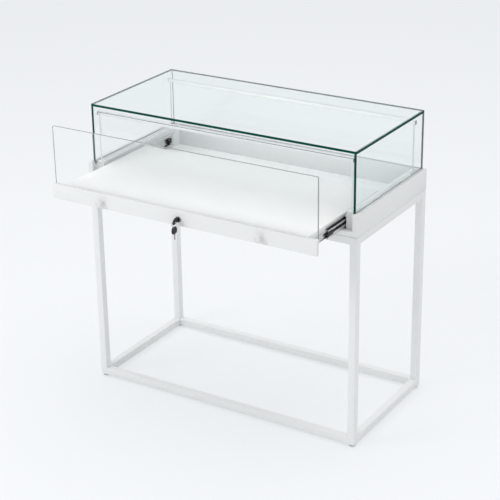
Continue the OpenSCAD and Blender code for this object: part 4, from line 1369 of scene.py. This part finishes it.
def lock_plug():
    low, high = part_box("lock_plug")
    back = (high.y - low.y) / MM - PLUG_BACK
    loops = [round_loop(0, 0, PLUG_R, PLUG_R),
             box_loop(-KEYWAY_W / 2, -KEYWAY_H / 2, KEYWAY_W / 2, KEYWAY_H / 2)]
    bm = plate_from_curves(loops, PLUG_FACE, PLUG_EDGE, at_lock(low.y + PLUG_FACE / 2 * MM))
    section = [(0, PLUG_FACE), (PLUG_R, PLUG_FACE), (PLUG_R, back), (0, back)]
    spun(section, lock_middle + Vector((0, low.y, 0)), Y, steps=40, bm=bm)
    return stand_in("lock_plug_with_keyway", "lock_plug", bm)


lock_pieces = [lock_housing(), lock_plug(), soften("lock_nut", 0.0003, SHORT_EDGE)]
print("lock:", [len(p.data.polygons) for p in lock_pieces], "faces")

# %% [markdown]
# A key has a moulded bow and a stamped blade. The bow is a plate with rounded edges and a hole for the
# ring, and a shallow oval panel is raised on each side for the thumb. The blade's lower edge is cut in
# steps of uneven depth. The spare key hangs from the ring with its blade down, and the other leans with the
# lock.

# %% Keys
NECK = 2
BOW_W, BOW_L, BOW_T, BOW_R, BOW_EDGE = 26, 23, 5, 9, 1.0
HOLE_R, HOLE_OUT = 3.2, NECK + BOW_L - 5.5
PANEL_OFF, PANEL_HALF_L, PANEL_HALF_W, PANEL_STANDS, PANEL_EDGE = 4.2, 4.0, 8.0, 0.4, 0.4
COLLAR_FROM, COLLAR_TO, COLLAR_PROUD, COLLAR_T, COLLAR_EDGE = -3.5, -0.7, 0.2, 3.2, 0.5
BLADE_L, BLADE_W, BLADE_T, BLADE_ROOT, BLADE_EDGE = 18, 7, 2, 3, 0.15
BLADE_TIP, TIP_SLOPE = 0.6, 2.2
BLADE_CUTS = [(2.0, 0.0), (3.2, 1.6), (5.0, 1.6), (6.0, 0.5), (7.4, 2.3), (9.0, 2.3), (10.0, 1.2),
              (11.6, 2.0), (13.0, 2.0), (14.0, 0.6), (15.6, 1.4), (16.6, 1.6)]


def blade_loop():
    half, root = BLADE_W / 2, -NECK - BLADE_ROOT
    lower_edge = [(root, -half)] + [(along, depth - half) for along, depth in BLADE_CUTS]
    tip = [(BLADE_L, -BLADE_TIP), (BLADE_L, BLADE_TIP), (BLADE_L - TIP_SLOPE, half)]
    return lower_edge + tip + [(root, half)]


def key(name, node, matrix):
    """Along +X of the matrix lies the blade, and along -X the bow. Z is square to the key's flat sides."""
    bow_middle = -NECK - BOW_L / 2
    outline = rounded_box(BOW_L / 2, BOW_W / 2, BOW_R, steps=8, x=bow_middle)
    hole = round_loop(-HOLE_OUT, 0, HOLE_R, HOLE_R, count=32)
    bow = plate_from_curves([outline, hole], BOW_T - 2 * PANEL_STANDS, BOW_EDGE, matrix)
    oval = round_loop(bow_middle + PANEL_OFF, 0, PANEL_HALF_L, PANEL_HALF_W, count=36)
    plate_from_curves([oval], BOW_T, PANEL_EDGE, matrix, bow)
    collar_half = BLADE_W / 2 + COLLAR_PROUD
    collar = box_loop(COLLAR_FROM, -collar_half, COLLAR_TO, collar_half)
    plate_from_curves([collar], COLLAR_T, COLLAR_EDGE, matrix, bow)
    blade = plate_from_curves([blade_loop()], BLADE_T, BLADE_EDGE, matrix)
    body = body_of[node]
    return [place_piece(name + "_bow", mesh_from(bow), [black_plastic], body, "black_plastic", node),
            place_piece(name + "_blade", mesh_from(blade), [blade_nickel], body, "zinc_steel", node)]


ring_low, ring_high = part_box("key_ring")
ring_middle = (ring_low + ring_high) / 2
in_lock = Matrix(((0, 0, 1, 0), (1, 0, 0, 0), (0, 1, 0, 0), (0, 0, 0, 1)))
key_place = (Matrix.Translation(lock_middle + Vector((0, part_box("lock_plug")[0].y, 0)))
             @ Matrix.Rotation(LEAN, 4, "Y") @ in_lock)
hanging = Matrix(((0, 0, 1, 0), (0, 1, 0, 0), (-1, 0, 0, 0), (0, 0, 0, 1)))
spare_neck = Vector((ring_middle.x, ring_middle.y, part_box("spare_key")[0].z + BLADE_L * MM))
spare_place = Matrix.Translation(spare_neck) @ hanging
keys = key("lock_key", "key", key_place) + key("hanging_key", "spare_key", spare_place)
print("keys:", [tuple(round(v / MM, 1) for v in k.dimensions) for k in keys], "mm")

# %% [markdown]
# The key ring is a split ring: flat wire wound twice round, so that keys thread on between the turns. It
# follows a path, so Geometry Nodes make it. A spiral with two turns and little height is the path, and a
# rectangle with rounded corners is swept along it. The same recipe with a finer section and more turns
# makes the thread on a levelling foot.

# %% Ring and threads
def coil_recipe(name, finish):
    recipe = Recipe(name, {"Turns": "Float", "Radius": "Float", "Height": "Float", "Wire width": "Float",
                           "Wire height": "Float", "Place": "Vector", "Turn": "Vector", "Steps": "Int"})
    path = recipe.node("GeometryNodeCurveSpiral", {}, {
        "Resolution": recipe.given("Steps"), "Rotations": recipe.given("Turns"),
        "Start Radius": recipe.given("Radius"), "End Radius": recipe.given("Radius"),
        "Height": recipe.given("Height")})
    section = recipe.node("GeometryNodeCurvePrimitiveQuadrilateral", {"mode": "RECTANGLE"}, {
        "Width": recipe.given("Wire width"), "Height": recipe.given("Wire height")})
    eased = recipe.node("GeometryNodeFilletCurve", {"mode": "POLY"}, {
        "Curve": section, "Count": 2, "Radius": recipe.given("Wire height") * 0.25, "Limit Radius": True})
    swept = recipe.node("GeometryNodeCurveToMesh", {}, {
        "Curve": path, "Profile Curve": eased, "Fill Caps": True})
    turned = recipe.moved(swept, Translation=recipe.given("Place"), Rotation=recipe.given("Turn"))
    return recipe.end(turned, finish)


ring_maker = coil_recipe("split ring", ring_plating)
RING_TURNS, RING_STEPS = 1.94, 48
WIRE = 0.0016
WIRE_WIDTH, WIRE_HEIGHT = 0.95 * WIRE, 0.46 * WIRE
ring_mesh = grow(ring_maker, {
    "Turns": RING_TURNS, "Steps": RING_STEPS, "Radius": (ring_high.x - ring_low.x) / 2 - WIRE / 2,
    "Height": WIRE / 2, "Wire width": WIRE_WIDTH, "Wire height": WIRE_HEIGHT,
    "Place": (ring_middle.x, ring_middle.y + WIRE / 4, ring_middle.z), "Turn": (math.radians(90), 0.0, 0.0)})
split_ring = place_piece("split_ring", ring_mesh, [], body_of["key_ring"], slot_of["key_ring"], "key_ring")
print("split ring:", tuple(round(v / MM, 1) for v in split_ring.dimensions), "mm")

# %% [markdown]
# Each levelling foot is a moulded pad on a threaded stem. The pad is spun with a chamfer. The ribs round
# it, which give the fingers a grip, and the thread on the stem repeat, so they are grown by Geometry Nodes:
# a circle of points carries the ribs, and the thread is a coil.

# %% Levelling feet
def rib_recipe():
    recipe = Recipe("grip ribs", {"Ribs": "Int", "Radius": "Float", "Rib size": "Vector", "Place": "Vector"})
    circle = recipe.node("GeometryNodeMeshCircle", {"fill_type": "NONE"}, {
        "Vertices": recipe.given("Ribs"), "Radius": recipe.given("Radius")})
    rib = recipe.node("GeometryNodeMeshCube", {}, {"Size": recipe.given("Rib size")})
    outward = recipe.node("FunctionNodeAlignRotationToVector", {"axis": "X"},
                          {"Vector": recipe.node("GeometryNodeInputPosition")})
    ribs = recipe.copies(circle, rib, Rotation=outward)
    return recipe.end(recipe.moved(ribs, Translation=recipe.given("Place")), foot_plastic)


rib_maker = rib_recipe()
thread_maker = coil_recipe("thread", foot_plastic)
PAD_SECTION = [(0, 0), (9.0, 0), (9.6, 0.6), (9.6, 4.2), (8.6, 5.0), (5.2, 5.0), (3.4, 5.4)]
STEM_R, STEM_CHAMFER = 3.4, 0.6
RIBS, RIB_SIZE = 24, (1.1 * MM, 1.3 * MM, 3.0 * MM)
RIBS_OUT, RIBS_UP = 9.4 * MM, 2.4 * MM
THREAD_TURNS, THREAD_STEPS = 16.0, 20
THREAD_R, THREAD_LENGTH, THREAD_UP, THREAD_WIRE = 3.45 * MM, 20.0 * MM, 7.0 * MM, 0.7 * MM


def levelling_foot(node):
    low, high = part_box(node)
    x, y, top = (low.x + high.x) / 2, (low.y + high.y) / 2, (high.z - low.z) / MM
    stem = [(STEM_R, top - STEM_CHAMFER), (STEM_R - STEM_CHAMFER, top), (0, top)]
    bm = spun(PAD_SECTION + stem, Vector((x, y, low.z)), Z, steps=40)
    bm.from_mesh(grow(rib_maker, {
        "Ribs": RIBS, "Radius": RIBS_OUT, "Rib size": RIB_SIZE, "Place": (x, y, low.z + RIBS_UP)}))
    bm.from_mesh(grow(thread_maker, {
        "Turns": THREAD_TURNS, "Steps": THREAD_STEPS, "Radius": THREAD_R, "Height": THREAD_LENGTH,
        "Wire width": THREAD_WIRE, "Wire height": THREAD_WIRE, "Place": (x, y, low.z + THREAD_UP),
        "Turn": (0.0, 0.0, 0.0)}))
    return stand_in("dressed_" + node, node, bm, foot_plastic, "white_plastic")


feet = [levelling_foot(node) for node in frame["nodes"] if node.startswith(("foot_front_", "foot_back_"))]
print("feet:", len(feet), "of", len(feet[0].data.polygons), "faces")

# %% [markdown]
# Behind each diffuser lies a strip with a row of LED chips. They repeat at one step, so a line of points
# carries them. The opal sheet hides them, and they show only where a bar is seen without it.

# %% LED chips
CHIP_STEP = 0.0166
CHIP_SIZE, CHIP_STANDS = (0.0035, 0.0007, 0.0028), 0.0004
BARE_ENDS = 0.02


def chip_recipe():
    recipe = Recipe("led chips", {"Count": "Int", "Step": "Vector", "Start": "Vector", "Chip": "Vector"})
    line = recipe.node("GeometryNodeMeshLine", {"mode": "OFFSET"}, {
        "Count": recipe.given("Count"), "Start Location": recipe.given("Start"),
        "Offset": recipe.given("Step")})
    chip = recipe.node("GeometryNodeMeshCube", {}, {"Size": recipe.given("Chip")})
    return recipe.end(recipe.copies(line, chip), chip_phosphor)


chip_maker = chip_recipe()


def chip_rows():
    bm = joined_copy("led_strips")
    whole = bmesh.new()
    for group in groups_of(bm):
        low, high = box_of(group)
        middle = (low + high) / 2
        towards, face = (-1, low.y) if middle.y > 0 else (1, high.y)
        count = int((high.x - low.x - BARE_ENDS) / CHIP_STEP)
        start = (middle.x - (count - 1) * CHIP_STEP / 2, face + towards * CHIP_STANDS, middle.z)
        whole.from_mesh(grow(chip_maker, {
            "Count": count, "Step": (CHIP_STEP, 0.0, 0.0), "Chip": CHIP_SIZE, "Start": start}))
    bm.free()
    return place_piece("led_chips", mesh_from(whole), [chip_phosphor], "case", "led_board")


chips = chip_rows()
print("chips:", len(chips.data.polygons) // 6)

# %% [markdown] The LED chips are the last piece that is made.
